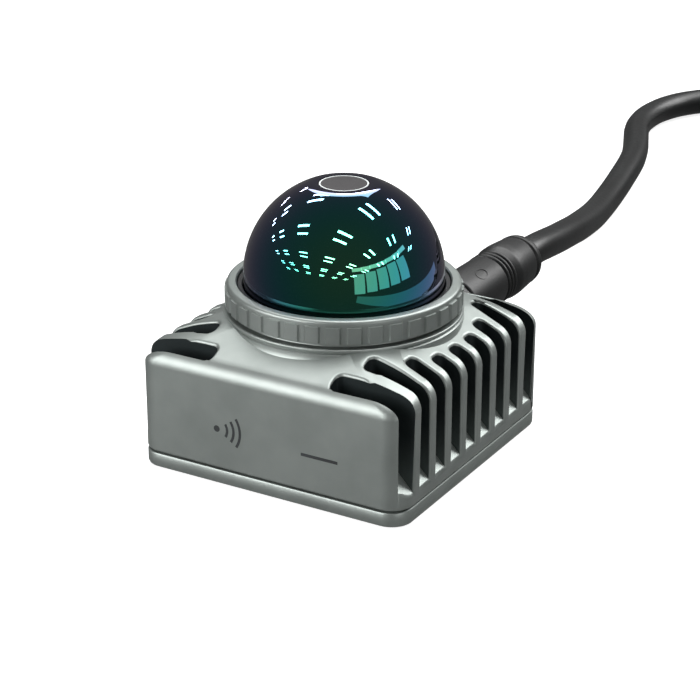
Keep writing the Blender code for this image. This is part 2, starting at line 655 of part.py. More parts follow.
# ---------------------------------------------------------------- spindle motor
def motor_base():
    sleeve_foot = STATOR_BOTTOM - GAP
    rim = CAVITY_RADIUS - GAP
    profile = [
        (SLEEVE_BORE, MOTOR_BOTTOM), (rim, MOTOR_BOTTOM), (rim, MOTOR_TOP), (STATOR_OUTER, MOTOR_TOP),
        (STATOR_OUTER, sleeve_foot), (STATOR_INNER, sleeve_foot), (STATOR_INNER, MOTOR_TOP),
        (SLEEVE_RADIUS, MOTOR_TOP), (SLEEVE_RADIUS, SLEEVE_TOP), (SLEEVE_BORE, SLEEVE_TOP),
    ]
    base = turned("motor_base", profile, MACHINED)
    holes = bmesh.new()
    for spot in circle_spots(LEDGE_CIRCLE, 3, -math.pi / 2):
        add_cylinder(holes, MOTOR_SCREW_RADIUS + GAP, MOTOR_BOTTOM - MM, MOTOR_TOP + MM, spot)
    cut(base, holes, "motor_base_holes")
    notch = bmesh.new()
    low = (-5 * MM, CAVITY_RADIUS - HARNESS_NOTCH, MOTOR_BOTTOM - MM)
    add_box(notch, low, (5 * MM, CAVITY_RADIUS + MM, MOTOR_TOP + MM))
    return cut(base, notch, "harness_notch")


def spindle_motor():
    motor_base()
    seat = MOTOR_BOTTOM - GAP
    for number, spot in enumerate(circle_spots(LEDGE_CIRCLE, 3, -math.pi / 2), 1):
        screw(f"motor_screw_{number}", MOTOR_SCREW_RADIUS, MOTOR_SCREW_HEAD, seat - MM, seat, MOTOR_SCREW_TIP,
              spot)
    lower = MOTOR_TOP + 0.8 * MM
    upper = SLEEVE_TOP - 0.8 * MM - BEARING_WIDTH
    for name, low in (("bearing_lower", lower), ("bearing_upper", upper)):
        turned(name, bearing_profile(SLEEVE_RADIUS + GAP, BEARING_OUTER, low, BEARING_WIDTH), STEEL, SMALL)

    core = bmesh.new()
    top = STATOR_BOTTOM + STATOR_HEIGHT
    add_turned(core, ring_profile(STATOR_INNER, STATOR_OUTER, STATOR_BOTTOM, top), 36)
    stator = finish("stator_core", core, MAGNET)
    cut(stator, winding_slots(0.0), "stator_slots")

    windings = bmesh.new()
    low = top + GAP
    inner, outer = STATOR_INNER + 0.6 * MM, STATOR_OUTER - 0.5 * MM
    add_turned(windings, ring_profile(inner, outer, low, low + 0.9 * MM), 36)
    coils = finish("stator_windings", windings, COPPER)
    join(coils, winding_slots(GAP), "winding_prongs")

    turned("magnet_ring", ring_profile(MAGNET_INNER, MAGNET_OUTER, STATOR_BOTTOM, top), MAGNET)
    disc_bottom = ROTOR_TOP - ROTOR_DISC
    turned("rotor_hub", [
        (HUB_BORE, lower + GAP), (HUB_BORE + HUB_WALL, lower + GAP), (HUB_BORE + HUB_WALL, disc_bottom),
        (SKIRT_INNER, disc_bottom), (SKIRT_INNER, ROTOR_BOTTOM), (SKIRT_OUTER, ROTOR_BOTTOM),
        (SKIRT_OUTER, ROTOR_TOP), (BEAM_HOLE, ROTOR_TOP), (BEAM_HOLE, disc_bottom), (HUB_BORE, disc_bottom),
    ], MACHINED)
    high = ROTOR_BOTTOM - GAP
    reach = SKIRT_OUTER + 1.9 * MM
    turned("encoder_disc", ring_profile(SKIRT_INNER + 0.1 * MM, reach, high - 0.6 * MM, high), MACHINED)
    low = MOTOR_TOP + GAP
    box("encoder_sensor", (-2 * MM, 0.5 * MM - reach, low), (2 * MM, 3.5 * MM - reach, low + 0.9 * MM), CHIP)
    low, high = POWER_COIL_BOTTOM, POWER_COIL_BOTTOM + POWER_COIL_HEIGHT
    inner = SKIRT_OUTER + GAP
    turned("rotating_power_coil", ring_profile(inner, inner + POWER_COIL_WALL, low, high), COPPER)
    outer = HEAD_CAVITY_RADIUS - GAP
    turned("fixed_power_coil", ring_profile(outer - POWER_COIL_WALL, outer, low, high), COPPER)


def winding_slots(shrink):
    """Upright bars in the gaps between the stator's teeth, cut out of the core or filled with wire."""
    bm = bmesh.new()
    half = 1.3 * MM - shrink
    inner = STATOR_INNER + 1.2 * MM + shrink
    outer = STATOR_OUTER - 0.5 * MM if shrink else STATOR_OUTER + MM
    low = STATOR_BOTTOM + GAP if shrink else STATOR_BOTTOM - MM
    high = STATOR_BOTTOM + STATOR_HEIGHT + (0.8 * MM if shrink else MM)
    for index in range(STATOR_TEETH):
        verts = add_box(bm, (inner, -half, low), (outer, half, high))
        turn = Matrix.Rotation(2 * math.pi * index / STATOR_TEETH, 4, "Z")
        bmesh.ops.transform(bm, matrix=turn, verts=verts)
    return bm


def bearing_profile(inner, outer, low, width):
    """A ring with a shallow recess in each face where the shield sits."""
    third = (outer - inner) / 3
    sink = 0.25 * MM
    high = low + width
    return [
        (inner, low), (inner + third, low), (inner + third, low + sink), (outer - third, low + sink),
        (outer - third, low), (outer, low), (outer, high), (outer - third, high),
        (outer - third, high - sink), (inner + third, high - sink), (inner + third, high), (inner, high),
    ]


# ---------------------------------------------------------------- optics and scan head
def optics():
    board_low = 8.9 * MM
    board_high = board_low + 1.2 * MM
    turned("optics_board", ring_profile(0, 6 * MM, board_low, board_high), BOARD, SMALL)
    tube_low = board_high + GAP
    wall = 1.2 * MM
    outer = SLEEVE_BORE - GAP
    seat = SLEEVE_TOP - 3 * MM
    high = SLEEVE_TOP - 0.4 * MM
    turned("optics_tube", [
        (outer - wall, tube_low), (outer, tube_low), (outer, high), (outer - 0.6 * MM, high),
        (outer - 0.6 * MM, seat), (outer - wall, seat),
    ], PLASTIC, SMALL)
    turned("receiver_lens", lens_profile(outer - 0.6 * MM - GAP, seat + GAP, 1.6 * MM), GLASS, SMALL)
    bm = bmesh.new()
    add_cylinder(bm, 1.4 * MM, board_high + GAP, board_high + GAP + 2 * MM, (0, 0), 16)
    finish("laser_diode", bm, BRASS)


def lens_profile(radius, low, thickness):
    """A lens with a flat back and a domed front."""
    edge = 0.5 * thickness
    points = [(0, low), (radius, low)]
    for step in range(6):
        share = 1 - step / 5
        points.append((radius * share, low + edge + (thickness - edge) * (1 - share**2)))
    return points


def scan_head():
    top = FRAME_BOTTOM + FRAME_DISC
    frame = turned("scan_frame", ring_profile(BEAM_HOLE, FRAME_RADIUS, FRAME_BOTTOM, top, 0.3 * MM), MACHINED)
    cheeks = bmesh.new()
    for side in (-1, 1):
        near, far = sorted((side * CHEEK_INSIDE, side * (CHEEK_INSIDE + CHEEK_THICKNESS)))
        low = FRAME_BOTTOM + 0.5 * MM
        verts = add_box(cheeks, (near, -CHEEK_WIDTH / 2, low), (far, CHEEK_WIDTH / 2, CHEEK_TOP))
        upper = [e for e in cheeks.edges if all(v in verts and v.co.z > CHEEK_TOP - 1e-6 for v in e.verts)
                 and abs(e.verts[0].co.y - e.verts[1].co.y) < 1e-9]
        bmesh.ops.bevel(cheeks, geom=upper, offset=2.5 * MM, segments=4, profile=0.5, affect="EDGES",
                        material=-1)
    join(frame, cheeks, "cheeks")
    bore = bmesh.new()
    add_cylinder(bore, AXLE_BEARING_OUTER + GAP, -18 * MM, 18 * MM, (0, 0), 20)
    cut(frame, bore, "axle_bore", (0, 0, DOME_CENTRE), ALONG["X"])

    axle_half = CHEEK_INSIDE + CHEEK_THICKNESS + DRIVE_LENGTH * 0.7
    middle = (0, 0, DOME_CENTRE)
    turned("mirror_axle", ring_profile(0, AXLE_RADIUS, -axle_half, axle_half), STEEL, 16, "X", middle)
    bm = bmesh.new()
    half = MIRROR_SIDE / 2
    verts = add_box(bm, (-half, -half, -MIRROR_LENGTH / 2), (half, half, MIRROR_LENGTH / 2))
    long_edges = [e for e in bm.edges if abs(e.verts[0].co.z - e.verts[1].co.z) > 1e-9]
    bmesh.ops.bevel(bm, geom=long_edges, offset=0.8 * MM, segments=1, profile=0.5, affect="EDGES",
                    material=-1)
    mirror = finish("polygon_mirror", bm, MIRROR, middle, ALONG["X"])
    hole = bmesh.new()
    add_cylinder(hole, AXLE_RADIUS + GAP, -MIRROR_LENGTH, MIRROR_LENGTH, (0, 0), 16)
    cut(mirror, hole, "mirror_bore", middle, ALONG["X"])

    bore_radius = AXLE_RADIUS + GAP
    inner = CHEEK_INSIDE + 0.2 * MM
    width = CHEEK_THICKNESS - 0.4 * MM
    for name, low in (("mirror_bearing_left", -inner - width), ("mirror_bearing_right", inner)):
        turned(name, ring_profile(bore_radius, AXLE_BEARING_OUTER, low, low + width), STEEL, 20, "X", middle)
    near = CHEEK_INSIDE + CHEEK_THICKNESS + GAP
    far = near + DRIVE_LENGTH
    chamfer = 0.4 * MM
    motor = ring_profile(bore_radius, DRIVE_RADIUS, near, far, chamfer)
    turned("mirror_motor", motor, MACHINED, SMALL, "X", middle)
    weight = ring_profile(bore_radius, DRIVE_RADIUS, -far, -near, chamfer)
    turned("counterweight", weight, BRASS, SMALL, "X", middle)


# ---------------------------------------------------------------- rear socket and plug
def pin_spots():
    return circle_spots(PIN_CIRCLES[0], 8) + circle_spots(PIN_CIRCLES[1], 4, math.pi / 4)


def socket_and_plug():
    axis = (0, 0, SOCKET_HEIGHT)
    rear = CASE_HALF
    seal = 0.8 * MM
    flange_low = rear + GAP + seal + GAP
    flange_high = flange_low + 1.8 * MM
    tip = rear + SOCKET_REACH
    inner_end = SOCKET_INNER_END
    turned("receptacle_shell", [
        (SOCKET_BORE, inner_end), (THREAD_RADIUS, inner_end), (THREAD_RADIUS, flange_low),
        (SOCKET_FLANGE, flange_low),
        (SOCKET_FLANGE, flange_high), (THREAD_RADIUS, flange_high), (THREAD_RADIUS, tip - 0.5 * MM),
        (THREAD_RADIUS - 0.4 * MM, tip), (SOCKET_BORE, tip),
    ], MACHINED, SMALL, "Y", axis)
    inner, outer = THREAD_RADIUS + GAP + 0.3 * MM, SOCKET_FLANGE - 0.5 * MM
    profile = ring_profile(inner, outer, rear + GAP, rear + GAP + seal)
    turned("receptacle_seal", profile, RUBBER, SMALL, "Y", axis)
    face = flange_high + 1.5 * MM
    profile = ring_profile(0, CARRIER_RADIUS, inner_end, face)
    carrier = turned("contact_carrier", profile, PLASTIC, SMALL, "Y", axis)
    pins = bmesh.new()
    for spot in pin_spots():
        add_cylinder(pins, PIN_RADIUS, face - MM, tip - 1.2 * MM, spot, 6)
    join(carrier, pins, "contact_pins", axis, ALONG["Y"])

    nut_low = flange_high + GAP
    nut_high = nut_low + NUT_LENGTH
    insert_low = face + GAP + 0.3 * MM
    profile = ring_profile(0, CARRIER_RADIUS, insert_low, nut_high + GAP)
    insert = turned("plug_insert", profile, PLASTIC, SMALL, "Y", axis)
    sockets = bmesh.new()
    for spot in pin_spots():
        add_cylinder(sockets, PIN_HOLE, insert_low - MM, tip + 0.5 * MM, spot, 6)
    cut(insert, sockets, "insert_holes", axis, ALONG["Y"])

    thread_end = tip + 2 * MM
    nut = turned("coupling_nut", [
        (THREAD_RADIUS + GAP, nut_low), (NUT_RADIUS - 0.3 * MM, nut_low), (NUT_RADIUS, nut_low + 0.3 * MM),
        (NUT_RADIUS, nut_high - 0.5 * MM), (NUT_RADIUS - 0.5 * MM, nut_high),
        (SOCKET_BORE + 0.2 * MM, nut_high), (SOCKET_BORE + 0.2 * MM, thread_end),
        (THREAD_RADIUS + GAP, thread_end),
    ], PLASTIC, 36, "Y", axis)
    flutes = bmesh.new()
    for spot in circle_spots(NUT_RADIUS + 0.25 * MM, 12):
        add_cylinder(flutes, 0.7 * MM, nut_low + MM, nut_high - MM, spot, 8)
    cut(nut, flutes, "nut_flutes", axis, ALONG["Y"])

    start = nut_high + 2 * GAP
    end = start + PLUG_LENGTH
    r = PLUG_RADIUS
    ridge = end - 20.4 * MM
    profile = [(0, start), (r - 0.4 * MM, start), (r, start + 0.4 * MM), (r - 0.2 * MM, ridge)]
    for index in range(3):
        at = ridge + index * 1.6 * MM
        low, high = r - 0.7 * MM, r - 0.1 * MM
        profile += [(low, at + 0.2 * MM), (low, at + 0.7 * MM), (high, at + 0.9 * MM), (high, at + 1.5 * MM)]
    wide, waist = r + 0.3 * MM, r - 0.6 * MM
    profile += [
        (waist, ridge + 4.9 * MM), (wide, ridge + 6.6 * MM), (wide, end - 10.5 * MM),
        (r - 0.2 * MM, end - 4.3 * MM), (waist, end - 4 * MM), (waist, end - 3.3 * MM),
        (r - 0.2 * MM, end - 3 * MM), (r - 0.4 * MM, end - 1.4 * MM), (r - 1.4 * MM, end), (0, end),
    ]
    turned("plug_body", profile, PLASTIC, SMALL, "Y", axis)


# ---------------------------------------------------------------- cable, splitter and far plugs
def cables():
    tube("cable_lead", CABLE_ROUTE, CABLE_DIAMETER, RUBBER)
    small = CABLE_DIAMETER / 2
    low, high = COIL_RADII[0] * MM - small, COIL_RADII[-1] * MM + small
    middle = COIL_RADII[1] * MM + small
    turned("cable_coil", [
        (low, 0), (high - MM, 0), (high, MM), (high, CABLE_DIAMETER - MM), (high - MM, CABLE_DIAMETER),
        (middle, CABLE_DIAMETER), (middle, 2 * CABLE_DIAMETER - MM), (middle - MM, 2 * CABLE_DIAMETER),
        (low, 2 * CABLE_DIAMETER),
    ], RUBBER, place=(COIL_CENTRE[0] * MM, COIL_CENTRE[1] * MM, 0))
    tube("cable_tail", TAIL_ROUTE, CABLE_DIAMETER, RUBBER)

    x = TAIL_ROUTE[-1][0] * MM
    rear = TAIL_ROUTE[-1][1] * MM - GAP
    width, length, height = SPLITTER_SIZE
    box("splitter", (x - width / 2, rear - length, 0), (x + width / 2, rear, height), PLASTIC, 1.2 * MM)
    tube("network_lead", DATA_ROUTE, LEAD_DIAMETER, RUBBER)
    tube("power_lead", POWER_ROUTE, LEAD_DIAMETER, RUBBER)
    x, y = DATA_ROUTE[-1][0] * MM, DATA_ROUTE[-1][1] * MM - GAP
    bm = bmesh.new()
    add_box(bm, (x - 5.8 * MM, y - 22 * MM, 0), (x + 5.8 * MM, y - 5 * MM, 8 * MM))
    plug = finish("network_plug", bm, GLASS)
    boot = bmesh.new()
    add_box(boot, (x - 4 * MM, y - 6 * MM, 0.1 * MM), (x + 4 * MM, y, 6.5 * MM))
    join(plug, boot, "network_boot")
    x, y = POWER_ROUTE[-1][0] * MM, POWER_ROUTE[-1][1] * MM - GAP
    box("power_plug", (x - 5.5 * MM, y - 24 * MM, 0), (x + 5.5 * MM, y, 8 * MM), PLASTIC, MM)


def main():
    clear_scene()
    base_plate()
    round_seal("base_seal", SEAL_RADIUS, SEAL_THICKNESS, PLATE_THICKNESS - SEAL_THICKNESS / 2)
    case_screws()
    main_housing()
    round_seal("neck_seal", NECK_SEAL_RADIUS, NECK_SEAL_THICKNESS, NECK_TOP - NECK_SEAL_THICKNESS / 2 + GAP)
    dome_window()
    crown_disc()
    dome_seal()
    dome_retaining_ring()
    electronics()
    spindle_motor()
    optics()
    scan_head()
    socket_and_plug()
    cables()


main()
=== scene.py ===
"""Lidar scanner module: a bead-blasted aluminium case with cooling slots, a dark coated dome in a
threaded ring, and a moulded round plug whose cable runs to a splitter with two leads.

Metres, +Z up, the plain front face towards -Y, the socket towards +Y, the slots towards +X and -X.
"""

import json
import math

import bmesh
import bpy
from mathutils import Matrix, Vector


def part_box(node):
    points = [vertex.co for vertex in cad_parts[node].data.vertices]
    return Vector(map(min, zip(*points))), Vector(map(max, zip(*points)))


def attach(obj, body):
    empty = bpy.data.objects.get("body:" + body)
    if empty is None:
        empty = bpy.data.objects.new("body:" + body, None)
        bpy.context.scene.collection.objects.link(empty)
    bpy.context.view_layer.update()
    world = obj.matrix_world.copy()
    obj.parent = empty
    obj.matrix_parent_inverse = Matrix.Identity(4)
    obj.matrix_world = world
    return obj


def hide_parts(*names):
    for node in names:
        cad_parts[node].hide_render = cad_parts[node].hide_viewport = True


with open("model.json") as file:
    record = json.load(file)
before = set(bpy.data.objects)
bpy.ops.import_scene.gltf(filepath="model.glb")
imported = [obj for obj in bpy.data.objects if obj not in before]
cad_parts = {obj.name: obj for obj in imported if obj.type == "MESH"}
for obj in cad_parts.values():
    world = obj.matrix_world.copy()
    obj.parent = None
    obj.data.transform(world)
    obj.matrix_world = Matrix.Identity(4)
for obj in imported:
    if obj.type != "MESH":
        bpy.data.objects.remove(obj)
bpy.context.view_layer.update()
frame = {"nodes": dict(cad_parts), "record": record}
MM = 0.001


# ---------------------------------------------------------------- sizes taken from the frame
case_low, case_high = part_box("main_housing")
plate_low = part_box("base_plate")[0]
ring_low, ring_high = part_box("dome_retaining_ring")
dome_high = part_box("dome_window")[1]
nut_low, nut_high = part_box("coupling_nut")
plug_low, plug_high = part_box("plug_body")
CASE_HALF = case_high.x
CASE_BOTTOM = case_low.z
CROWN_HEIGHT = dome_high.z
RING_RADIUS = ring_high.x
SOCKET_HEIGHT = (nut_low.z + nut_high.z) / 2

# ---------------------------------------------------------------- sizes of the finer shapes
CASE_CORNER = 4.9 * MM
WALL_TOP = 23.8 * MM
SHOULDER_RADIUS = 4.6 * MM
ROOF_PITCH = math.radians(24.2)
ROOF_CORNER = 8 * MM
ROOF_TOP = 32.3 * MM
CORNER_STEPS = 14  # flats round each upright corner
ROUND_STEPS = 192  # flats round the turned pieces that show most
SLOT_COUNT = 9
SLOT_WIDTH = 4.3 * MM
SLOT_PITCH = 6.84 * MM
SLOT_FRONT = 1.4 * MM
SLOT_END_RADIUS = 1.6 * MM
SLOT_TIP = 6.4 * MM
SLOT_FLOOR_PITCH = math.radians(46)
SLOT_KEEP_OUT = 27 * MM
SLOT_DRIFT = 4.2 * MM
SLOT_LEAST = 14.4 * MM
SLOT_EDGE = 0.55 * MM  # rounding of the fins
CAVITY_RADIUS = 24.5 * MM
HEAD_CAVITY_RADIUS = 21.5 * MM
LEDGE_HEIGHT = 13.7 * MM
COLLAR_RADIUS = 26 * MM
COLLAR_TOP = 32.4 * MM
NECK_RADIUS = 24.2 * MM
NECK_TOP = 33.9 * MM
DOME_RADIUS = 21.8 * MM
DOME_CENTRE = 39.5 * MM
DOME_WALL = 1.6 * MM
DISC_RADIUS = 5.4 * MM
RING_PADS = 36
PAD_DEPTH = 0.45 * MM
PLATE_TOP = 3.4 * MM
PLATE_EDGE = 0.6 * MM
CASE_SCREW_HALF = 27.5 * MM  # half the spacing of the case screws
MOUNT_HALF = 22 * MM  # half the spacing of the mounting holes
FLANGE_TOP = 36.2 * MM  # the window's flange, which the ring holds down
FLANGE_BOTTOM = 34.2 * MM
FLANGE_RADIUS = 23.8 * MM
SOCKET_HOLE_RADIUS = 6.15 * MM
THREAD_RADIUS = 5.85 * MM
THREAD_PITCH = 1.0 * MM
SOCKET_FLANGE_RADIUS = 8.5 * MM
PLUG_RADIUS = 6.7 * MM
RIDGE_PITCH = 1.6 * MM
NUT_RADIUS = 7.3 * MM
NUT_FLUTES = 24
CABLE_DIAMETER = 8 * MM
LEAD_DIAMETER = 5 * MM

# Routes in millimetres: the cable from the plug to its coil and on to the splitter, and the leads
CABLE_ROUTE = [
    (0, 89, 15.4), (0, 96, 15.3), (-0.9, 109.7, 13.4), (-2.4, 121, 11.6), (-4.4, 132.4, 9.5),
    (-8.1, 150.5, 6.6), (-12.0, 166.9, 4.7), (-16.7, 188, 4), (-21.9, 210.2, 4), (-25.8, 222.4, 4),
    (-30.6, 234.2, 4), (-34.3, 243.5, 4), (-36.6, 254, 4), (-36.6, 266, 4), (-33.4, 277.4, 4),
    (-26.8, 286.8, 4), (-17.8, 293.7, 4), (-12, 297, 4), (-6.65, 300.2, 4),
]
COIL_CENTRE = (45.55, 271.7)
COIL_RADII = (35, 43, 51)
COIL_START = -30.4  # degrees round from +Y
TAIL_ROUTE = [
    (88.75, 243.5, 12.4), (88.7, 236, 12.3), (88.5, 226, 11.2), (88.2, 214, 8.4), (87.7, 202, 5.6),
    (87.2, 190, 4.2), (86.8, 180, 4), (86.7, 170, 4),
]
DATA_ROUTE = [(92.7, 139.4, 4), (92.7, 130, 3.5), (93.1, 118, 2.6), (94.1, 101, 2.6),
              (94.7, 82, 2.6)]
POWER_ROUTE = [(80.7, 139.4, 4), (80.7, 130, 3.5), (80.3, 118, 2.6), (79.1, 101, 2.6),
               (78.7, 86, 2.6)]


# ---------------------------------------------------------------- camera
def make_camera():
    """A long lens from the front right, a little above the case."""
    data = bpy.data.cameras.new("camera")
    data.lens = 107.59
    data.sensor_width = 36
    data.clip_start = 0.01
    camera = bpy.data.objects.new("camera", data)
    bpy.context.scene.collection.objects.link(camera)
    azimuth, elevation, distance = math.radians(30.439), math.radians(22.639), 0.457748
    back = Vector((
        math.sin(azimuth) * math.cos(elevation),
        -math.cos(azimuth) * math.cos(elevation),
        math.sin(elevation),
    ))
    camera.location = Vector((1.161, 0.542, 21.729)) * MM + back * distance
    camera.rotation_mode = "QUATERNION"
    camera.rotation_quaternion = (-back).to_track_quat("-Z", "Y")
    bpy.context.scene.camera = camera


make_camera()


# ---------------------------------------------------------------- materials
def linear(colour):
    """Linear RGBA from an sRGB hex colour."""
    parts = [int(colour[i:i + 2], 16) / 255 for i in (1, 3, 5)]
    return (*[c / 12.92 if c <= 0.04045 else ((c + 0.055) / 1.055) ** 2.4 for c in parts], 1)


def fill(tree, node, inputs):
    """Sets a node's inputs, each to a value or to the socket that it is linked from."""
    for key, value in inputs.items():
        if isinstance(value, bpy.types.NodeSocket):
            tree.links.new(value, node.inputs[key])
        else:
            node.inputs[key].default_value = value


def add(tree, kind, inputs=None, stops=(), **settings):
    """Adds a node with its settings, its colour stops and its links."""
    made = tree.nodes.new(kind)
    for key, value in settings.items():
        setattr(made, key, value)
    for number, (position, colour) in enumerate(stops):
        made.color_ramp.elements[number].position = position
        made.color_ramp.elements[number].color = linear(colour)
    fill(tree, made, inputs or {})
    return made


def grain(tree, size_mm, detail=2.0, roughness=0.5, stretch=(1, 1, 1)):
    """Noise with lumps of about size_mm, in the object's own metres."""
    place = add(tree, "ShaderNodeTexCoord")
    scale = tuple(1 / (size_mm * MM) * s for s in stretch)
    turned = add(tree, "ShaderNodeMapping", {"Vector": place.outputs["Object"], "Scale": scale})
    made = add(tree, "ShaderNodeTexNoise", {
        "Vector": turned.outputs["Vector"], "Scale": 1.0, "Detail": detail, "Roughness": roughness,
    })
    return made.outputs["Fac"]


def finish(name, dark, light, cloud, skin=None, rough=None, relief=None, values=()):
    """A finish whose tone follows one grain, and its roughness and relief another or the same one.

    cloud and skin are what grain takes, rough is the least and greatest roughness, relief is the
    strength and depth of the marks, and values are constants for the shader's own sockets.
    """
    made = bpy.data.materials.new(name)
    made.use_nodes = True
    tree = made.node_tree
    clouds = grain(tree, *cloud)
    marks = grain(tree, *skin) if skin else clouds
    tone = add(tree, "ShaderNodeValToRGB", {"Fac": clouds}, [(0.35, dark), (0.65, light)])
    inputs = {"Base Color": tone.outputs["Color"], **dict(values)}
    if rough:
        sheen = add(tree, "ShaderNodeMapRange", {
            "Value": marks, "To Min": rough[0], "To Max": rough[1],
        })
        inputs["Roughness"] = sheen.outputs["Result"]
    if relief:
        dents = add(tree, "ShaderNodeBump", {
            "Height": marks, "Strength": relief[0], "Distance": relief[1],
        })
        inputs["Normal"] = dents.outputs["Normal"]
    fill(tree, tree.nodes["Principled BSDF"], inputs)
    return made


def tooled_metal(name, dark, light, roughness, stretch=(1, 1, 1), size=0.5, strength=0.15):
    """A turned or ground metal: fine tool lines in its tone, roughness and relief."""
    return finish(name, dark, light, (size, 3, 0.6, stretch), None,
                  (roughness * 0.8, roughness * 1.25), (strength, 0.00003), {"Metallic": 1.0})


def moulded_plastic(name, dark, light, low, high, size=0.35, strength=0.25, depth=0.00005):
    """A moulded or spark-eroded plastic skin, with a fine even texture."""
    return finish(name, dark, light, (12, 2), (size, 3), (low, high), (strength, depth),
                  {"IOR": 1.46})


def painted_slot_shade():
    """The slots' inner walls in painted shade: aluminium darkened to stand in for the shadow deep
    in each slot, a little lighter towards the foot of each slot."""
    made = bpy.data.materials.new("painted_slot_shade")
    made.use_nodes = True
    tree = made.node_tree
    place = add(tree, "ShaderNodeTexCoord")
    split = add(tree, "ShaderNodeSeparateXYZ", {"Vector": place.outputs["Object"]})
    rise = add(tree, "ShaderNodeMapRange", {
        "Value": split.outputs["Z"], "From Min": 7 * MM, "From Max": 19 * MM,
    })
    # painted shade: near-black high in each slot, a little lighter at its foot
    tone = add(tree, "ShaderNodeValToRGB", {"Fac": rise.outputs["Result"]},
               [(0.0, "#4E5654"), (1.0, "#262D2E")])
    skin = add(tree, "ShaderNodeBump", {
        "Height": grain(tree, 0.3, 2), "Strength": 0.25, "Distance": 0.00006,
    })
    fill(tree, tree.nodes["Principled BSDF"], {
        "Base Color": tone.outputs["Color"], "Metallic": 0.75, "Roughness": 0.5,
        "Normal": skin.outputs["Normal"],
    })
    return made


def circuit_board():
    """Green solder mask over copper tracks, drawn as a lighter grid in a darker, satin green."""
    made = bpy.data.materials.new("circuit_board")
    made.use_nodes = True
    tree = made.node_tree
    place = add(tree, "ShaderNodeTexCoord")
    tracks = add(tree, "ShaderNodeTexBrick", {
        "Vector": place.outputs["Object"], "Scale": 1 / (3.2 * MM), "Mortar Size": 0.06,
        "Color1": linear("#0C4A28"), "Color2": linear("#0F5730"), "Mortar": linear("#1D7A45"),
    })
    relief = add(tree, "ShaderNodeBump", {
        "Height": tracks.outputs["Fac"], "Strength": 0.4, "Distance": 0.00004,
    })
    fill(tree, tree.nodes["Principled BSDF"], {
        "Base Color": tracks.outputs["Color"], "Roughness": 0.42,
        "Normal": relief.outputs["Normal"],
    })
    return made


MATERIALS = {
    # die-cast, bead blasted and clear anodised: a soft satin grey with a fine sparkle. Real beads
    # leave 0.05 mm dimples, drawn coarser so that they show
    "blasted_aluminium": finish("blasted_aluminium", "#868C89", "#8E9491", (9, 3), (0.22, 2),
                                (0.36, 0.5), (0.22, 0.00006), {"Metallic": 0.82}),
    # turned aluminium, left bright: light streaks that run round the piece
    "machined_aluminium": tooled_metal("machined_aluminium", "#B6B8BA", "#CDCFD1", 0.28, (1, 1, 6)),
    # screws and bearings of ground steel: a darker, harder shine than the aluminium
    "steel": tooled_metal("ground_steel", "#9C9DA0", "#B9BABD", 0.24, (1, 1, 5), 0.3),
    # near-black polycarbonate under a hard interference film about 340 nm thick, which looks green
    # seen square on, and blue and violet towards the edge
    "coated_window": finish("coated_window", "#020404", "#050807", (30, 1), values={
        "Roughness": 0.02, "IOR": 1.58, "Thin Film Thickness": 340, "Thin Film IOR": 1.9,
    }),
    # extruded cable jacket: black with a long soft highlight
    "black_rubber": moulded_plastic("cable_jacket", "#080909", "#0E1010", 0.3, 0.44, 1.2, 0.2,
                                    0.00008),
    # spark-eroded nylon: black, with a flat sheen
    "black_plastic": moulded_plastic("moulded_black_plastic", "#0A0B0B", "#101212", 0.38, 0.52),
    # clear polycarbonate of a network plug: see-through, slightly hazed
    "clear_plastic": finish("clear_plastic", "#C9D3D6", "#DEE6E8", (3, 2), rough=(0.06, 0.14),
                            values={"Transmission Weight": 0.75, "IOR": 1.58}),
    "circuit_board": circuit_board(),
    # moulded epoxy of a chip: charcoal, and duller than the plastic
    "chip": moulded_plastic("chip_epoxy", "#141416", "#1D1D20", 0.4, 0.6, 0.12, 0.4),
    # filled silicone: a chalky blue grey without any shine
    "thermal_pad": moulded_plastic("silicone_pad", "#7E8C9C", "#91A0B1", 0.7, 0.9, 0.8, 0.4,
                                   0.0001),
    # wound enamelled wire: red-brown, streaked along the turns
    "copper": tooled_metal("enamelled_copper", "#8E4A22", "#C27A45", 0.34, (1, 1, 8), 0.25, 0.5),
    # nickel-plated magnet: a dark, slightly uneven grey
    "magnet": tooled_metal("plated_magnet", "#55575C", "#6E7076", 0.36, (1, 1, 2), 0.4),
    # aluminised facets: nearly a perfect mirror
    "mirror": tooled_metal("polished_mirror", "#E4E4E8", "#EEEEF2", 0.03, (1, 1, 1), 6, 0.0),
    # polished glass with a faint blue coating, which shows at the lens's edge
    "lens_glass": finish("coated_lens", "#B9D6F2", "#E6F2FF", (4, 1), values={
        "Roughness": 0.02, "Transmission Weight": 0.9, "IOR": 1.52,
    }),
    # turned brass: a soft yellow with lines across the pins
    "brass": tooled_metal("turned_brass", "#A98A4C", "#C9AB6C", 0.28, (6, 1, 1), 0.3),
    # matt film let into the crown: a warm near-black that mirrors nothing
    "crown_print": moulded_plastic("crown_film", "#1C1A1C", "#232022", 0.5, 0.62, 0.2, 0.2),
}
# painted shade inside the slots: nearly black, a little lighter at the foot
SLOT_SHADE = painted_slot_shade()
# pressed rubber of a seal: black and duller than the cable
SEAL_RUBBER = moulded_plastic("seal_rubber", "#0D0E0F", "#141516", 0.5, 0.68, 0.5, 0.3)
# soft overmoulding of the plug: black with a broad dim highlight
BOOT_RUBBER = moulded_plastic("plug_boot", "#080909", "#0D0F0F", 0.36, 0.52, 0.5, 0.35, 0.00007)
# woven nylon strap: dull and rough
STRAP = moulded_plastic("woven_strap", "#121314", "#1C1D1F", 0.7, 0.9, 0.4, 0.6, 0.0001)
# pad-printed ink: a dull dark grey on the case
PRINT = moulded_plastic("printed_ink", "#1B1E1F", "#24282A", 0.5, 0.6, 0.2, 0.1)
# pale ink on the crown: an even light grey line
PALE_PRINT = moulded_plastic("pale_printed_ink", "#BFC4C4", "#CFD3D3", 0.4, 0.5, 0.2, 0.1)
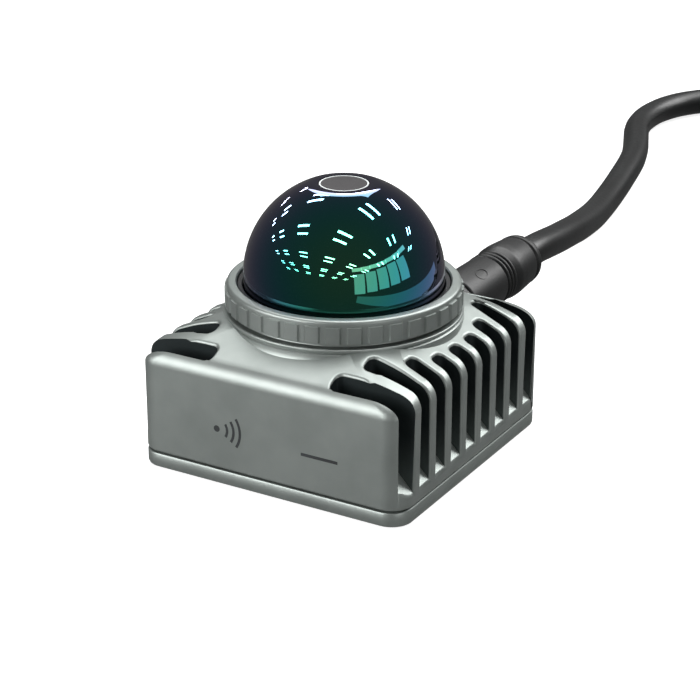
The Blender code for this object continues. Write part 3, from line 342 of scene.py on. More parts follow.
# flash gold on the contacts: a clear warm yellow shine
GOLD = tooled_metal("contact_gold", "#D8AE52", "#E6C26E", 0.22, (1, 1, 1), 0.5, 0.05)


# ---------------------------------------------------------------- mesh helpers
def make_piece(name, bm, slot, replaces=(), material=None, body="case", sharp=35):
    """A finished piece from a bmesh, in its slot's finish unless another is given."""
    bmesh.ops.remove_doubles(bm, verts=bm.verts, dist=1e-7)
    bmesh.ops.recalc_face_normals(bm, faces=bm.faces)
    mesh = bpy.data.meshes.new(name)
    bm.to_mesh(mesh)
    bm.free()
    mesh.shade_smooth()
    mesh.set_sharp_from_angle(angle=math.radians(sharp))
    mesh.materials.append(material or MATERIALS[slot])
    piece = bpy.data.objects.new(name, mesh)
    bpy.context.scene.collection.objects.link(piece)
    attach(piece, body)
    if replaces:
        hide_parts(*replaces)
    return piece


def add_turned(bm, profile, steps):
    """Spins a closed outline of (radius, height) points round Z."""
    verts = [bm.verts.new((r, 0, h)) for r, h in profile]
    edges = []
    for start, end in zip(verts, verts[1:] + verts[:1]):
        if start.co.x > 0 or end.co.x > 0:
            edges.append(bm.edges.new((start, end)))
    bmesh.ops.spin(bm, geom=verts + edges, cent=(0, 0, 0), axis=(0, 0, 1), angle=2 * math.pi,
                   steps=steps, use_merge=True)
    bmesh.ops.remove_doubles(bm, verts=bm.verts, dist=1e-7)


def rounded(profile, radius, steps=4):
    """The closed outline with each corner turned into an arc, smaller where a side is short."""
    points = [Vector(p) for p in profile]
    made = []
    for before, corner, after in zip(points[-1:] + points[:-1], points, points[1:] + points[:1]):
        to_before, to_after = before - corner, after - corner
        flat = to_before.length < 1e-9 or to_after.length < 1e-9
        if flat or corner.x < 1e-9:
            made.append(tuple(corner))
            continue
        reach = min(radius, 0.45 * to_before.length, 0.45 * to_after.length)
        start = corner + to_before.normalized() * reach
        end = corner + to_after.normalized() * reach
        for step in range(steps + 1):
            t = step / steps
            made.append(tuple((1 - t) ** 2 * start + 2 * t * (1 - t) * corner + t**2 * end))
    return made


def along_y(bm, height):
    """Turns a shape made round Z so that its axis runs along Y at that height."""
    turn = Matrix.Translation((0, 0, height)) @ Matrix.Rotation(-math.pi / 2, 4, "X")
    bmesh.ops.transform(bm, matrix=turn, verts=bm.verts)


def rounded_square(inset, radius):
    """The case's outline, drawn in by inset, with upright corners of that radius."""
    half = CASE_HALF - inset
    points = []
    for quarter in range(4):
        for step in range(CORNER_STEPS + 1):
            angle = math.pi / 2 * (quarter + step / CORNER_STEPS)
            corner = math.pi / 2 * (quarter + 0.5)
            reach = (half - radius) * math.sqrt(2)
            points.append((
                reach * math.cos(corner) + radius * math.cos(angle),
                reach * math.sin(corner) + radius * math.sin(angle),
            ))
    return points


def add_loft(bm, sections):
    """Joins flat outlines, each (x, y) points with a height, from the bottom up, and caps them."""
    loops = [[bm.verts.new((x, y, height)) for x, y in outline] for outline, height in sections]
    rims = [[bm.edges.new(pair) for pair in zip(loop, loop[1:] + loop[:1])] for loop in loops]
    for low, high in zip(rims, rims[1:]):
        bmesh.ops.bridge_loops(bm, edges=low + high)
    bm.faces.new(loops[0])
    bm.faces.new(loops[-1])


def add_box(bm, low, high):
    low, high = Vector(low), Vector(high)
    matrix = Matrix.Translation((low + high) / 2) @ Matrix.Diagonal((*(high - low), 1))
    return bmesh.ops.create_cube(bm, size=1, matrix=matrix)["verts"]


def add_rounded_box(bm, low, high, radius, segments=4):
    verts = add_box(bm, low, high)
    edges = {edge for vert in verts for edge in vert.link_edges}
    bmesh.ops.bevel(bm, geom=list(edges), offset=radius, segments=segments, profile=0.5,
                    affect="EDGES", material=-1)


def add_cylinder(bm, radius, low, high, spot, segments=32):
    middle = Matrix.Translation((spot[0], spot[1], (low + high) / 2))
    bmesh.ops.create_cone(bm, cap_ends=True, segments=segments, radius1=radius, radius2=radius,
                          depth=high - low, matrix=middle)


def cut_round(bm, height):
    """Adds a level line of edges all round a shape."""
    bmesh.ops.bisect_plane(bm, geom=bm.verts[:] + bm.edges[:] + bm.faces[:],
                           plane_co=(0, 0, height), plane_no=(0, 0, 1))


def scratch_object(name, bm):
    bmesh.ops.recalc_face_normals(bm, faces=bm.faces)
    mesh = bpy.data.meshes.new(name)
    bm.to_mesh(mesh)
    bm.free()
    made = bpy.data.objects.new(name, mesh)
    bpy.context.scene.collection.objects.link(made)
    return made


def carved(body, cutters):
    """A bmesh of body with each cutter taken out of it by an exact Boolean."""
    solid = scratch_object("solid", body)
    helpers = []
    for number, cutter in enumerate(cutters):
        tool = scratch_object(f"cutter_{number}", cutter)
        step = solid.modifiers.new(tool.name, "BOOLEAN")
        step.operation, step.solver, step.object = "DIFFERENCE", "EXACT", tool
        helpers.append(tool)
    graph = bpy.context.evaluated_depsgraph_get()
    made = bmesh.new()
    made.from_mesh(solid.evaluated_get(graph).to_mesh())
    for old in [solid, *helpers]:
        bpy.data.objects.remove(old)
    bmesh.ops.remove_doubles(made, verts=made.verts, dist=2e-6)
    return made


def square_spots(half):
    return [(x, y) for x in (-half, half) for y in (-half, half)]


# ---------------------------------------------------------------- cords
def smooth_route(points, spacing):
    """Points a steady distance apart on a Catmull-Rom curve through the route's points."""
    ends = [2 * points[0] - points[1], *points, 2 * points[-1] - points[-2]]
    fine = []
    for a, b, c, d in zip(ends, ends[1:], ends[2:], ends[3:]):
        for step in range(12):
            t = step / 12
            fine.append(0.5 * (2 * b + (c - a) * t + (2 * a - 5 * b + 4 * c - d) * t**2
                               + (3 * b - a - 3 * c + d) * t**3))
    fine.append(points[-1])
    length = sum((q - p).length for p, q in zip(fine, fine[1:]))
    count = max(2, round(length / spacing))
    picked, walked, target = [fine[0]], 0.0, length / count
    for p, q in zip(fine, fine[1:]):
        step = (q - p).length
        while walked + step >= target - 1e-9 and len(picked) < count:
            picked.append(p.lerp(q, (target - walked) / step))
            target += length / count
        walked += step
    return [*picked, fine[-1]]


def coil_turns(spacing_deg=8):
    """The wound coil, clockwise seen from above: inwards on the table, then outwards on top."""
    centre = Vector((*COIL_CENTRE, 0)) * MM
    inner, middle, outer = [r * MM for r in COIL_RADII]
    low, high = CABLE_DIAMETER / 2, CABLE_DIAMETER * 1.5
    stages = [  # degrees turned, and the radius and height reached at the end
        (240, outer, low), (120, middle, low), (240, middle, low), (120, inner, low),
        (240, inner, low),
        (120, inner, high), (240, inner, high), (120, middle, high), (120.4, middle, high),
    ]
    angle, radius, height = COIL_START, outer, low
    points = []
    for sweep, next_radius, next_height in stages:
        count = max(2, round(sweep / spacing_deg))
        for step in range(1, count + 1):
            t = step / count
            ease = t * t * (3 - 2 * t)
            a = math.radians(angle + sweep * t)
            r = radius + (next_radius - radius) * ease
            z = height + (next_height - height) * ease
            points.append(centre + Vector((r * math.sin(a), r * math.cos(a), z)))
        angle, radius, height = angle + sweep, next_radius, next_height
    start = math.radians(COIL_START)
    first = centre + Vector((outer * math.sin(start), outer * math.cos(start), low))
    return [first, *points]


def cord_curve(name, points, diameter, replaces):
    """A round cord in the cable's jacket, kept up on the table."""
    curve = bpy.data.curves.new(name, "CURVE")
    curve.dimensions = "3D"
    curve.bevel_depth = diameter / 2
    curve.bevel_resolution = 6
    curve.use_fill_caps = True
    spline = curve.splines.new("POLY")
    spline.points.add(len(points) - 1)
    for spot, point in zip(spline.points, points):
        spot.co = (point.x, point.y, max(point.z, diameter / 2), 1)
    spline.use_smooth = True
    curve.materials.append(MATERIALS["black_rubber"])
    piece = bpy.data.objects.new(name, curve)
    bpy.context.scene.collection.objects.link(piece)
    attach(piece, "case")
    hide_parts(*replaces)
    return piece


def main_cable():
    lead = smooth_route([Vector(p) * MM for p in CABLE_ROUTE], 3 * MM)
    tail = smooth_route([Vector(p) * MM for p in TAIL_ROUTE], 3 * MM)
    points = [*lead, *coil_turns(), *tail]
    nodes = ("cable_lead", "cable_coil", "cable_tail")
    return cord_curve("main_cable", points, CABLE_DIAMETER, nodes), points


def thin_lead(name, route, node):
    points = smooth_route([Vector(p) * MM for p in route], 2.5 * MM)
    return cord_curve(name, points, LEAD_DIAMETER, (node,)), points


cable, cable_points = main_cable()
data_lead, data_points = thin_lead("data_lead", DATA_ROUTE, "network_lead")
supply_lead, supply_points = thin_lead("supply_lead", POWER_ROUTE, "power_lead")


# ---------------------------------------------------------------- case
def case_sections():
    """Outlines of the case from the bottom up: wall, rounded shoulder and pitched roof."""
    for inset, rise in ((0.5 * MM, 0), (0.15 * MM, 0.15 * MM), (0, 0.5 * MM)):
        yield rounded_square(inset, CASE_CORNER - inset), CASE_BOTTOM + rise
    turn = math.pi / 2 - ROOF_PITCH
    steps = 12
    for step in range(steps + 1):
        angle = turn * step / steps
        inset = SHOULDER_RADIUS * (1 - math.cos(angle))
        height = WALL_TOP + SHOULDER_RADIUS * math.sin(angle)
        corner = CASE_CORNER + (ROOF_CORNER - CASE_CORNER) * min(inset / (0.6 * SHOULDER_RADIUS), 1)
        yield rounded_square(inset, corner), height
    run = (ROOF_TOP - height) / math.tan(ROOF_PITCH)
    yield rounded_square(inset + run, ROOF_CORNER), ROOF_TOP


def slot_rows():
    """(middle of the slot along Y, distance of its closed end from the middle of the case)."""
    first = -CASE_HALF + SLOT_FRONT + SLOT_WIDTH / 2
    for index in range(SLOT_COUNT):
        y = first + index * SLOT_PITCH
        edge = min(abs(y), SLOT_KEEP_OUT)
        reach = math.sqrt(max(SLOT_KEEP_OUT**2 - edge**2, 0)) + SLOT_DRIFT * abs(y) / CASE_HALF
        yield y, max(reach, SLOT_LEAST)


def add_slot(bm, y, closed_end, side):
    """A slot open to side and top, with a rounded closed end and a floor that falls outwards."""
    outer = CASE_HALF + 1.5 * MM
    half = SLOT_WIDTH / 2
    r = SLOT_END_RADIUS
    outline = [(outer, -half), (outer, half)]
    for quarter, centre in ((1, half - r), (2, r - half)):
        for step in range(7):
            angle = math.pi / 2 * (quarter + step / 6)
            outline.append((closed_end + r + r * math.cos(angle), centre + r * math.sin(angle)))
    floor = [SLOT_TIP + (CASE_HALF - x) * math.tan(SLOT_FLOOR_PITCH) for x, v in outline]
    low = [bm.verts.new((side * x, y + v, z)) for (x, v), z in zip(outline, floor)]
    high = [bm.verts.new((side * x, y + v, ROOF_TOP + 3 * MM)) for x, v in outline]
    rims = []
    for loop in (low, high):
        rims += [bm.edges.new(pair) for pair in zip(loop, loop[1:] + loop[:1])]
    bmesh.ops.bridge_loops(bm, edges=rims)
    bm.faces.new(low)
    bm.faces.new(high)


def in_slot_rim(edge):
    """True for an edge between a slot's wall or floor and the case's outer skin."""
    if len(edge.link_faces) != 2 or edge.calc_length() < 1e-6:
        return False
    if edge.calc_face_angle_signed(0) < math.radians(28):
        return False
    middle = (edge.verts[0].co + edge.verts[1].co) / 2
    if middle.z < SLOT_TIP - 1 * MM or middle.xy.length < CAVITY_RADIUS + 0.5 * MM:
        return False
    thin_wall = abs(middle.y) > CASE_HALF - SLOT_FRONT - 0.3 * MM
    hip = abs(middle.y) > 23.5 * MM and abs(middle.x) > 22 * MM and middle.z > WALL_TOP - 0.5 * MM
    return abs(middle.x) > SLOT_LEAST - 2 * MM and not thin_wall and not hip


def paint_shade_on_slot_walls(bm):
    """Gives the second material, the painted slot shade, to the fins' sides and the slots' closed
    ends.
    """
    rows = list(slot_rows())
    for face in bm.faces:
        middle = face.calc_center_median()
        if abs(face.normal.z) > 0.1 or middle.z < SLOT_TIP or middle.xy.length < CAVITY_RADIUS + MM:
            continue
        beside = abs(face.normal.y) > 0.99 and abs(middle.y) < CASE_HALF - 0.5 * MM
        y, closed_end = min(rows, key=lambda row: abs(row[0] - middle.y))
        inside = abs(middle.y - y) < SLOT_WIDTH / 2
        depth = abs(middle.x) - closed_end
        end = inside and -0.1 * MM < depth < SLOT_END_RADIUS + 0.1 * MM
        if beside or end:
            face.material_index = 1


def case_shell():
    body = bmesh.new()
    add_loft(body, list(case_sections()))
    slots = bmesh.new()
    for y, closed_end in slot_rows():
        for side in (-1, 1):
            add_slot(slots, y, closed_end, side)
    cavity = bmesh.new()
    add_turned(cavity, [
        (0, 0), (CAVITY_RADIUS, 0), (CAVITY_RADIUS, LEDGE_HEIGHT),
        (HEAD_CAVITY_RADIUS, LEDGE_HEIGHT), (HEAD_CAVITY_RADIUS, NECK_TOP + MM), (0, NECK_TOP + MM),
    ], 96)
    socket_hole = bmesh.new()
    add_cylinder(socket_hole, SOCKET_HOLE_RADIUS, 20 * MM, CASE_HALF + MM, (0, 0), 48)
    along_y(socket_hole, SOCKET_HEIGHT)
    shell = carved(body, [slots, cavity, socket_hole])
    rims = [edge for edge in shell.edges if in_slot_rim(edge)]
    bmesh.ops.bevel(shell, geom=rims, offset=SLOT_EDGE, segments=3, profile=0.5, affect="EDGES",
                    material=-1, clamp_overlap=False)
    bmesh.ops.recalc_face_normals(shell, faces=shell.faces)
    paint_shade_on_slot_walls(shell)
    piece = make_piece("case_shell", shell, "blasted_aluminium", ("main_housing",), sharp=50)
    # the second material paints the shade inside the slots
    piece.data.materials.append(SLOT_SHADE)
    even = piece.modifiers.new("even_normals", "WEIGHTED_NORMAL")
    even.weight = 100
    even.keep_sharp = True
    return piece


def case_collar():
    """The round collar that rises out of the roof under the ring."""
    bm = bmesh.new()
    flare = [(COLLAR_RADIUS + 1.0 * MM * (1 - math.sin(math.radians(a))),
              28.9 * MM + 2.2 * MM * (1 - math.cos(math.radians(a)))) for a in range(0, 91, 15)]
    profile = [(HEAD_CAVITY_RADIUS, 25 * MM), (COLLAR_RADIUS + 1.0 * MM, 25 * MM), *flare]
    profile += rounded([
        (COLLAR_RADIUS, 31.5 * MM), (COLLAR_RADIUS, COLLAR_TOP), (NECK_RADIUS, COLLAR_TOP),
        (NECK_RADIUS, NECK_TOP), (HEAD_CAVITY_RADIUS, NECK_TOP), (HEAD_CAVITY_RADIUS, 31 * MM),
    ], 0.35 * MM)
    add_turned(bm, profile, ROUND_STEPS)
    return make_piece("case_collar", bm, "blasted_aluminium", ("main_housing",))


def plate():
    """The base plate, with rounded edges, sunk screw seats and tapped mounting holes below."""
    bm = bmesh.new()
    edge = PLATE_EDGE
    levels = [(edge, plate_low.z), (0.3 * edge, plate_low.z + 0.3 * edge), (0, plate_low.z + edge)]
    levels += [(share * edge, PLATE_TOP - drop * edge)
               for share, drop in ((0, 0.8), (0.25, 0.25), (0.8, 0))]
    add_loft(bm, [(rounded_square(inset, CASE_CORNER - inset), z) for inset, z in levels])
    holes = bmesh.new()
    for half, radius in ((CASE_SCREW_HALF, 1.3 * MM), (MOUNT_HALF, 1.25 * MM)):
        for spot in square_spots(half):
            add_cylinder(holes, radius, -MM, 5 * MM, spot)
    seats = bmesh.new()
    for spot in square_spots(CASE_SCREW_HALF):
        add_cylinder(seats, 2.3 * MM, -MM, 1.8 * MM, spot)
    return make_piece("plate", carved(bm, [holes, seats]), "blasted_aluminium", ("base_plate",))


# ---------------------------------------------------------------- ring, dome and crown
def retaining_ring():
    """The screwed ring: a plain rim above a band of shallow flat grip pads."""
    bm = bmesh.new()
    low, high = ring_low.z, ring_high.z
    pad_low, pad_high = low + 0.5 * MM, high - 1.3 * MM
    lip = 2.2 * MM
    lip_floor = 36.5 * MM
    bore = 24.5 * MM
    top_edge = [(RING_RADIUS, high - 0.7 * MM)]
    for step in range(1, 6):
        angle = math.pi / 2 * step / 5
        top_edge.append((RING_RADIUS - 0.7 * MM * (1 - math.cos(angle)),
                         high - 0.7 * MM * (1 - math.sin(angle))))
    profile = [
        (bore, low), (RING_RADIUS - 0.35 * MM, low), (RING_RADIUS - 0.1 * MM, low + 0.1 * MM),
        (RING_RADIUS, low + 0.35 * MM), (RING_RADIUS, pad_low), (RING_RADIUS, pad_high), *top_edge,
        (RING_RADIUS - lip + 0.25 * MM, high), (RING_RADIUS - lip, high - 0.25 * MM),
        (RING_RADIUS - lip, lip_floor), (bore, lip_floor),
    ]
    steps = RING_PADS * 12
    add_turned(bm, profile, steps)
    pad_faces = []
    for face in bm.faces:
        middle = face.calc_center_median()
        share = (math.atan2(middle.y, middle.x) / (2 * math.pi) * RING_PADS) % 1
        outside = middle.xy.length > RING_RADIUS - 0.05 * MM
        if outside and pad_low < middle.z < pad_high and 0.125 < share < 0.875:
            pad_faces.append(face)
    bmesh.ops.inset_region(bm, faces=pad_faces, thickness=0.3 * MM, depth=-PAD_DEPTH,
                           use_even_offset=True, use_boundary=True)
    for vert in {vert for face in pad_faces for vert in face.verts}:
        upper = vert.co.z > (pad_low + pad_high) / 2
        vert.co.z = pad_high - 0.03 * MM if upper else pad_low + 0.03 * MM
    return make_piece("retaining_ring", bm, "blasted_aluminium", ("dome_retaining_ring",), sharp=28)


def arc(radius, start, end, steps):
    for step in range(steps + 1):
        angle = start + (end - start) * step / steps
        yield radius * math.cos(angle), DOME_CENTRE + radius * math.sin(angle)


def dome():
    """The hollow window: part of a sphere with a flat crown, standing on a flange."""
    foot = math.asin((36.8 * MM - DOME_CENTRE) / DOME_RADIUS)
    rim = 8.3 * MM
    inner = DOME_RADIUS - DOME_WALL
    outside = list(arc(DOME_RADIUS, foot, math.acos(rim / DOME_RADIUS), 64))
    start = Vector(outside[-1])
    corner = Vector((rim - (CROWN_HEIGHT - start.y) * (start.y - DOME_CENTRE) / rim, CROWN_HEIGHT))
    end = Vector((DISC_RADIUS + 0.35 * MM, CROWN_HEIGHT))
    edge = []
    for step in range(1, 13):
        t = step / 12
        edge.append(tuple((1 - t) ** 2 * start + 2 * t * (1 - t) * corner + t**2 * end))
    inside = list(arc(inner, foot, math.radians(68), 24))
    pocket = DISC_RADIUS + 0.12 * MM
    profile = [
        (outside[0][0], FLANGE_TOP), *outside, *edge, (pocket, CROWN_HEIGHT),
        (pocket, CROWN_HEIGHT - 0.9 * MM),
        (0, CROWN_HEIGHT - 0.9 * MM), (0, inside[-1][1]), *reversed(inside),
        (inside[0][0], FLANGE_BOTTOM), (FLANGE_RADIUS, FLANGE_BOTTOM), (FLANGE_RADIUS, FLANGE_TOP),
    ]
    bm = bmesh.new()
    add_turned(bm, profile, ROUND_STEPS)
    return make_piece("dome", bm, "coated_window", ("dome_window",), sharp=30)


def crown():
    """The film disc set into the flat crown, with a pale outline printed round it."""
    top = CROWN_HEIGHT - 0.05 * MM
    bm = bmesh.new()
    add_turned(bm, [(0, top - 0.6 * MM), (DISC_RADIUS, top - 0.6 * MM),
                    (DISC_RADIUS, top - 0.06 * MM),
                    (DISC_RADIUS - 0.06 * MM, top), (0, top)], 128)
    make_piece("crown_film_disc", bm, "crown_print", ("crown_disc",))
    line = bmesh.new()
    outer = DISC_RADIUS - 0.1 * MM
    add_turned(line, [(outer - 0.3 * MM, top - 0.01 * MM), (outer, top - 0.01 * MM),
                      (outer, top + 0.02 * MM), (outer - 0.3 * MM, top + 0.02 * MM)], 128)
    make_piece("crown_outline", line, "crown_print", material=PALE_PRINT)


def window_seal():
    bm = bmesh.new()
    profile = rounded([(22.0 * MM, 36.6 * MM), (23.0 * MM, 36.6 * MM), (23.0 * MM, 37.9 * MM),
                       (21.95 * MM, 37.75 * MM)], 0.2 * MM)
    add_turned(bm, profile, 160)
    return make_piece("window_seal", bm, "black_rubber", ("dome_seal",), material=SEAL_RUBBER)


case_shell()
case_collar()
plate()
retaining_ring()
dome()
crown()
window_seal()


def printed_mark():
    """A plain printed sign on the front face: a dot with three arcs, and a bar to its right."""
    bm = bmesh.new()
    ink = 0.02 * MM
    add_turned(bm, [(0, 0), (0.75 * MM, 0), (0.75 * MM, ink), (0, ink)], 32)
    for radius in (2.3, 3.9, 5.5):
        profile = [bm.verts.new((r * MM, 0, z)) for r, z in
                   ((radius, 0), (radius + 0.62, 0), (radius + 0.62, ink), (radius, ink))]
        edges = [bm.edges.new(pair) for pair in zip(profile, profile[1:] + profile[:1])]
        face = bm.faces.new(profile)
        bmesh.ops.rotate(bm, verts=profile, cent=(0, 0, 0),
                         matrix=Matrix.Rotation(math.radians(-34), 3, "Z"))
        bmesh.ops.spin(bm, geom=[*profile, *edges, face], cent=(0, 0, 0), axis=(0, 0, 1),
                       angle=math.radians(68), steps=20)
    upright = Matrix.Rotation(math.pi / 2, 4, "X")
    place = Matrix.Translation((-12 * MM, -CASE_HALF, 12.9 * MM))
    bmesh.ops.transform(bm, matrix=place @ upright, verts=bm.verts)
    add_box(bm, (8.8 * MM, -CASE_HALF - ink, 11.6 * MM), (17.6 * MM, -CASE_HALF + ink, 12.3 * MM))
    return make_piece("front_print", bm, "black_plastic", material=PRINT)


printed_mark()


# ---------------------------------------------------------------- plug, nut and socket
def plug():
    """The moulded plug: a plain grip, three ridges, a swollen shoulder and a lip at the cable."""
    y0, y1 = plug_low.y, plug_high.y
    r = PLUG_RADIUS
    ridge = y1 - 20.4 * MM
    profile = [(0, y0), (r - 0.4 * MM, y0), (r, y0 + 0.4 * MM), (r - 0.2 * MM, ridge - 0.1 * MM)]
    for index in range(3):
        at = ridge + index * RIDGE_PITCH
        profile += [(r - 0.75 * MM, at + 0.15 * MM), (r - 0.75 * MM, at + 0.65 * MM),
                    (r - 0.08 * MM, at + 0.85 * MM), (r - 0.08 * MM, at + 1.5 * MM)]
    profile += [
        (r - 0.65 * MM, ridge + 4.9 * MM), (r - 0.2 * MM, ridge + 5.9 * MM),
        (r + 0.28 * MM, ridge + 7.2 * MM),
        (r + 0.28 * MM, y1 - 10.5 * MM), (r - 0.15 * MM, y1 - 4.4 * MM),
        (r - 0.7 * MM, y1 - 4.15 * MM),
        (r - 0.7 * MM, y1 - 3.5 * MM), (r - 0.15 * MM, y1 - 3.2 * MM),
        (r - 0.3 * MM, y1 - 1.5 * MM), (r - 1.3 * MM, y1), (0, y1),
    ]
    bm = bmesh.new()
    add_turned(bm, rounded(profile, 0.5 * MM, 5), 96)
    along_y(bm, SOCKET_HEIGHT)
    return make_piece("plug_moulding", bm, "black_plastic", ("plug_body",), material=BOOT_RUBBER,
                      sharp=50)


def plug_mark():
    """A raised oval rim on the plug's grip, which shows which way up it goes."""
    bm = bmesh.new()
    centre_y = plug_low.y + 8.6 * MM
    lean = math.radians(32)  # round from the top towards +X
    surface = 6.62 * MM
    loops = []
    steps = 40
    for reach, lift in ((1.0, 0.0), (1.0, 0.12), (0.86, 0.12), (0.86, 0.0)):
        loop = []
        for step in range(steps):
            angle = 2 * math.pi * step / steps
            turn = lean + reach * 1.5 * MM * math.sin(angle) / surface
            radius = surface + lift * MM
            loop.append(bm.verts.new((
                radius * math.sin(turn), centre_y + reach * 2.4 * MM * math.cos(angle),
                SOCKET_HEIGHT + radius * math.cos(turn),
            )))
        loops.append(loop)
    rims = [[bm.edges.new(pair) for pair in zip(loop, loop[1:] + loop[:1])] for loop in loops]
    for low, high in zip(rims, rims[1:] + rims[:1]):
        bmesh.ops.bridge_loops(bm, edges=low + high)
    return make_piece("plug_mark", bm, "black_plastic", material=BOOT_RUBBER)


def nut():
    """The fluted coupling nut, which turns freely on the plug."""
    bm = bmesh.new()
    low, high = nut_low.y, nut_high.y
    radius = NUT_RADIUS
    profile = rounded([
        (SOCKET_HOLE_RADIUS, low), (radius, low), (radius, low + 1.2 * MM),
        (radius - 0.35 * MM, low + 1.5 * MM),
        (radius - 0.35 * MM, low + 1.9 * MM), (radius, low + 2.2 * MM), (radius, high - 1.4 * MM),
        (radius - 0.9 * MM, high), (4.9 * MM, high), (4.9 * MM, 45 * MM),
        (SOCKET_HOLE_RADIUS, 45 * MM),
    ], 0.2 * MM)
    add_turned(bm, profile, ROUND_STEPS)
    grip_low, grip_high = low + 2.4 * MM, high - 1.7 * MM
    for height in (grip_low, grip_high):
        cut_round(bm, height)
    flute_faces = []
    for face in bm.faces:
        middle = face.calc_center_median()
        share = (math.atan2(middle.y, middle.x) / (2 * math.pi) * NUT_FLUTES) % 1
        outside = middle.xy.length > radius - 0.05 * MM
        if outside and grip_low < middle.z < grip_high and share < 0.5:
            flute_faces.append(face)
    bmesh.ops.inset_region(bm, faces=flute_faces, thickness=0.08 * MM, depth=-0.35 * MM,
                           use_even_offset=True, use_boundary=True)
    along_y(bm, SOCKET_HEIGHT)
    return make_piece("nut", bm, "black_plastic", ("coupling_nut",), body="coupling_nut", sharp=30)


def socket():
    """The turned socket: a round flange and a 12 mm thread."""
    bm = bmesh.new()
    low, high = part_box("receptacle_shell")
    flange_low, flange_high = CASE_HALF + 1.4 * MM, CASE_HALF + 3.2 * MM
    outer = THREAD_RADIUS
    bore = 4.7 * MM
    profile = [(bore, low.y), (outer, low.y), (outer, flange_low),
               (SOCKET_FLANGE_RADIUS, flange_low),
               (SOCKET_FLANGE_RADIUS, flange_high), (outer, flange_high)]
    pitch = THREAD_PITCH
    thread = flange_high + 0.4 * MM
    while thread + pitch < high.y - 0.4 * MM:
        profile += [(outer - 0.45 * MM, thread), (outer, thread + 0.42 * pitch),
                    (outer, thread + 0.58 * pitch)]
        thread += pitch
    profile += [(outer - 0.45 * MM, thread), (outer - 0.45 * MM, high.y), (bore, high.y)]
    add_turned(bm, profile, 96)
    along_y(bm, SOCKET_HEIGHT)
    return make_piece("socket", bm, "machined_aluminium", ("receptacle_shell",), sharp=25)


plug_piece = plug()
mark_piece = plug_mark()
nut_piece = nut()
socket()


# ---------------------------------------------------------------- splitter and far plugs
def splitter():
    """The moulded block where the cable divides."""
    low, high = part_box("splitter")
    bm = bmesh.new()
    add_rounded_box(bm, low, high, 1.8 * MM, 5)
    for height in (0.32, 0.68):
        cut_round(bm, low.z + (high.z - low.z) * height)
    return make_piece("splitter_block", bm, "black_plastic", ("splitter",))


def splitter_panel():
    """A raised border on the splitter's top face."""
    low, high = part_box("splitter")
    bm = bmesh.new()
    outer = Vector((high.x - low.x - 7 * MM, high.y - low.y - 7 * MM)) / 2
    middle = (low + high) / 2
    top = high.z - 0.05 * MM
    add_box(bm, (middle.x - outer.x, middle.y - outer.y, top - 0.6 * MM),
            (middle.x + outer.x, middle.y + outer.y, top + 0.04 * MM))
    face = max(bm.faces, key=lambda f: f.calc_center_median().z)
    bmesh.ops.inset_region(bm, faces=[face], thickness=0.8 * MM, depth=0, use_even_offset=True)
    bmesh.ops.inset_region(bm, faces=[face], thickness=0.2 * MM, depth=-0.3 * MM,
                           use_even_offset=True)
    return make_piece("splitter_panel", bm, "black_plastic")


def network_plug():
    """A clear eight-way modular plug with its latch, contacts and boot."""
    low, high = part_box("network_plug")
    x = (low.x + high.x) / 2
    bm = bmesh.new()
    body_high = high.y - 5 * MM
    add_rounded_box(bm, (low.x, low.y, low.z), (high.x, body_high, high.z - 1.2 * MM), 0.4 * MM, 2)
    add_rounded_box(bm, (x - 3.1 * MM, low.y + 1.0 * MM, high.z - 1.6 * MM),
                    (x + 3.1 * MM, body_high - 2 * MM, high.z - 0.1 * MM), 0.3 * MM, 2)
    plug_shell = make_piece("network_plug_shell", bm, "clear_plastic", ("network_plug",))
    contacts = bmesh.new()
    for index in range(8):
        left = x + (index - 3.5) * 1.02 * MM
        add_box(contacts, (left - 0.18 * MM, low.y + 0.15 * MM, low.z + 0.2 * MM),
                (left + 0.18 * MM, low.y + 6 * MM, low.z + 1.6 * MM))
    rows = make_piece("network_plug_contacts", contacts, "brass", material=GOLD)
    boot = bmesh.new()
    add_rounded_box(boot, (x - 4 * MM, body_high - 0.5 * MM, 0.1 * MM),
                    (x + 4 * MM, high.y, 6.5 * MM), 1.2 * MM, 4)
    relief = make_piece("network_plug_boot", boot, "black_plastic", material=BOOT_RUBBER)
    return [plug_shell, rows, relief]


def power_plug():
    """A two-way power plug, ribbed where it is gripped."""
    low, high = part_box("power_plug")
    x = (low.x + high.x) / 2
    bm = bmesh.new()
    add_rounded_box(bm, (low.x, low.y, low.z), (high.x, low.y + 14 * MM, high.z), 0.8 * MM, 3)
    add_rounded_box(bm, (low.x + 1.2 * MM, low.y + 13.2 * MM, low.z + 0.6 * MM),
                    (high.x - 1.2 * MM, high.y - 0.2 * MM, high.z - 1.2 * MM), 1.4 * MM, 4)
    for index in range(4):
        back = low.y + 15.4 * MM + index * 1.9 * MM
        add_rounded_box(bm, (low.x + 0.8 * MM, back, low.z + 0.3 * MM),
                        (high.x - 0.8 * MM, back + 0.9 * MM, high.z - 0.8 * MM), 0.35 * MM, 2)
    shell = make_piece("power_plug_shell", bm, "black_plastic", ("power_plug",))
    contacts = bmesh.new()
    for side in (-1, 1):
        middle = x + side * 2.4 * MM
        add_rounded_box(contacts, (middle - 1.1 * MM, low.y, low.z + 2.2 * MM),
                        (middle + 1.1 * MM, low.y + 5 * MM, low.z + 5.6 * MM), 0.3 * MM, 2)
    blades = make_piece("power_plug_contacts", contacts, "brass", material=GOLD)
    return [shell, blades]


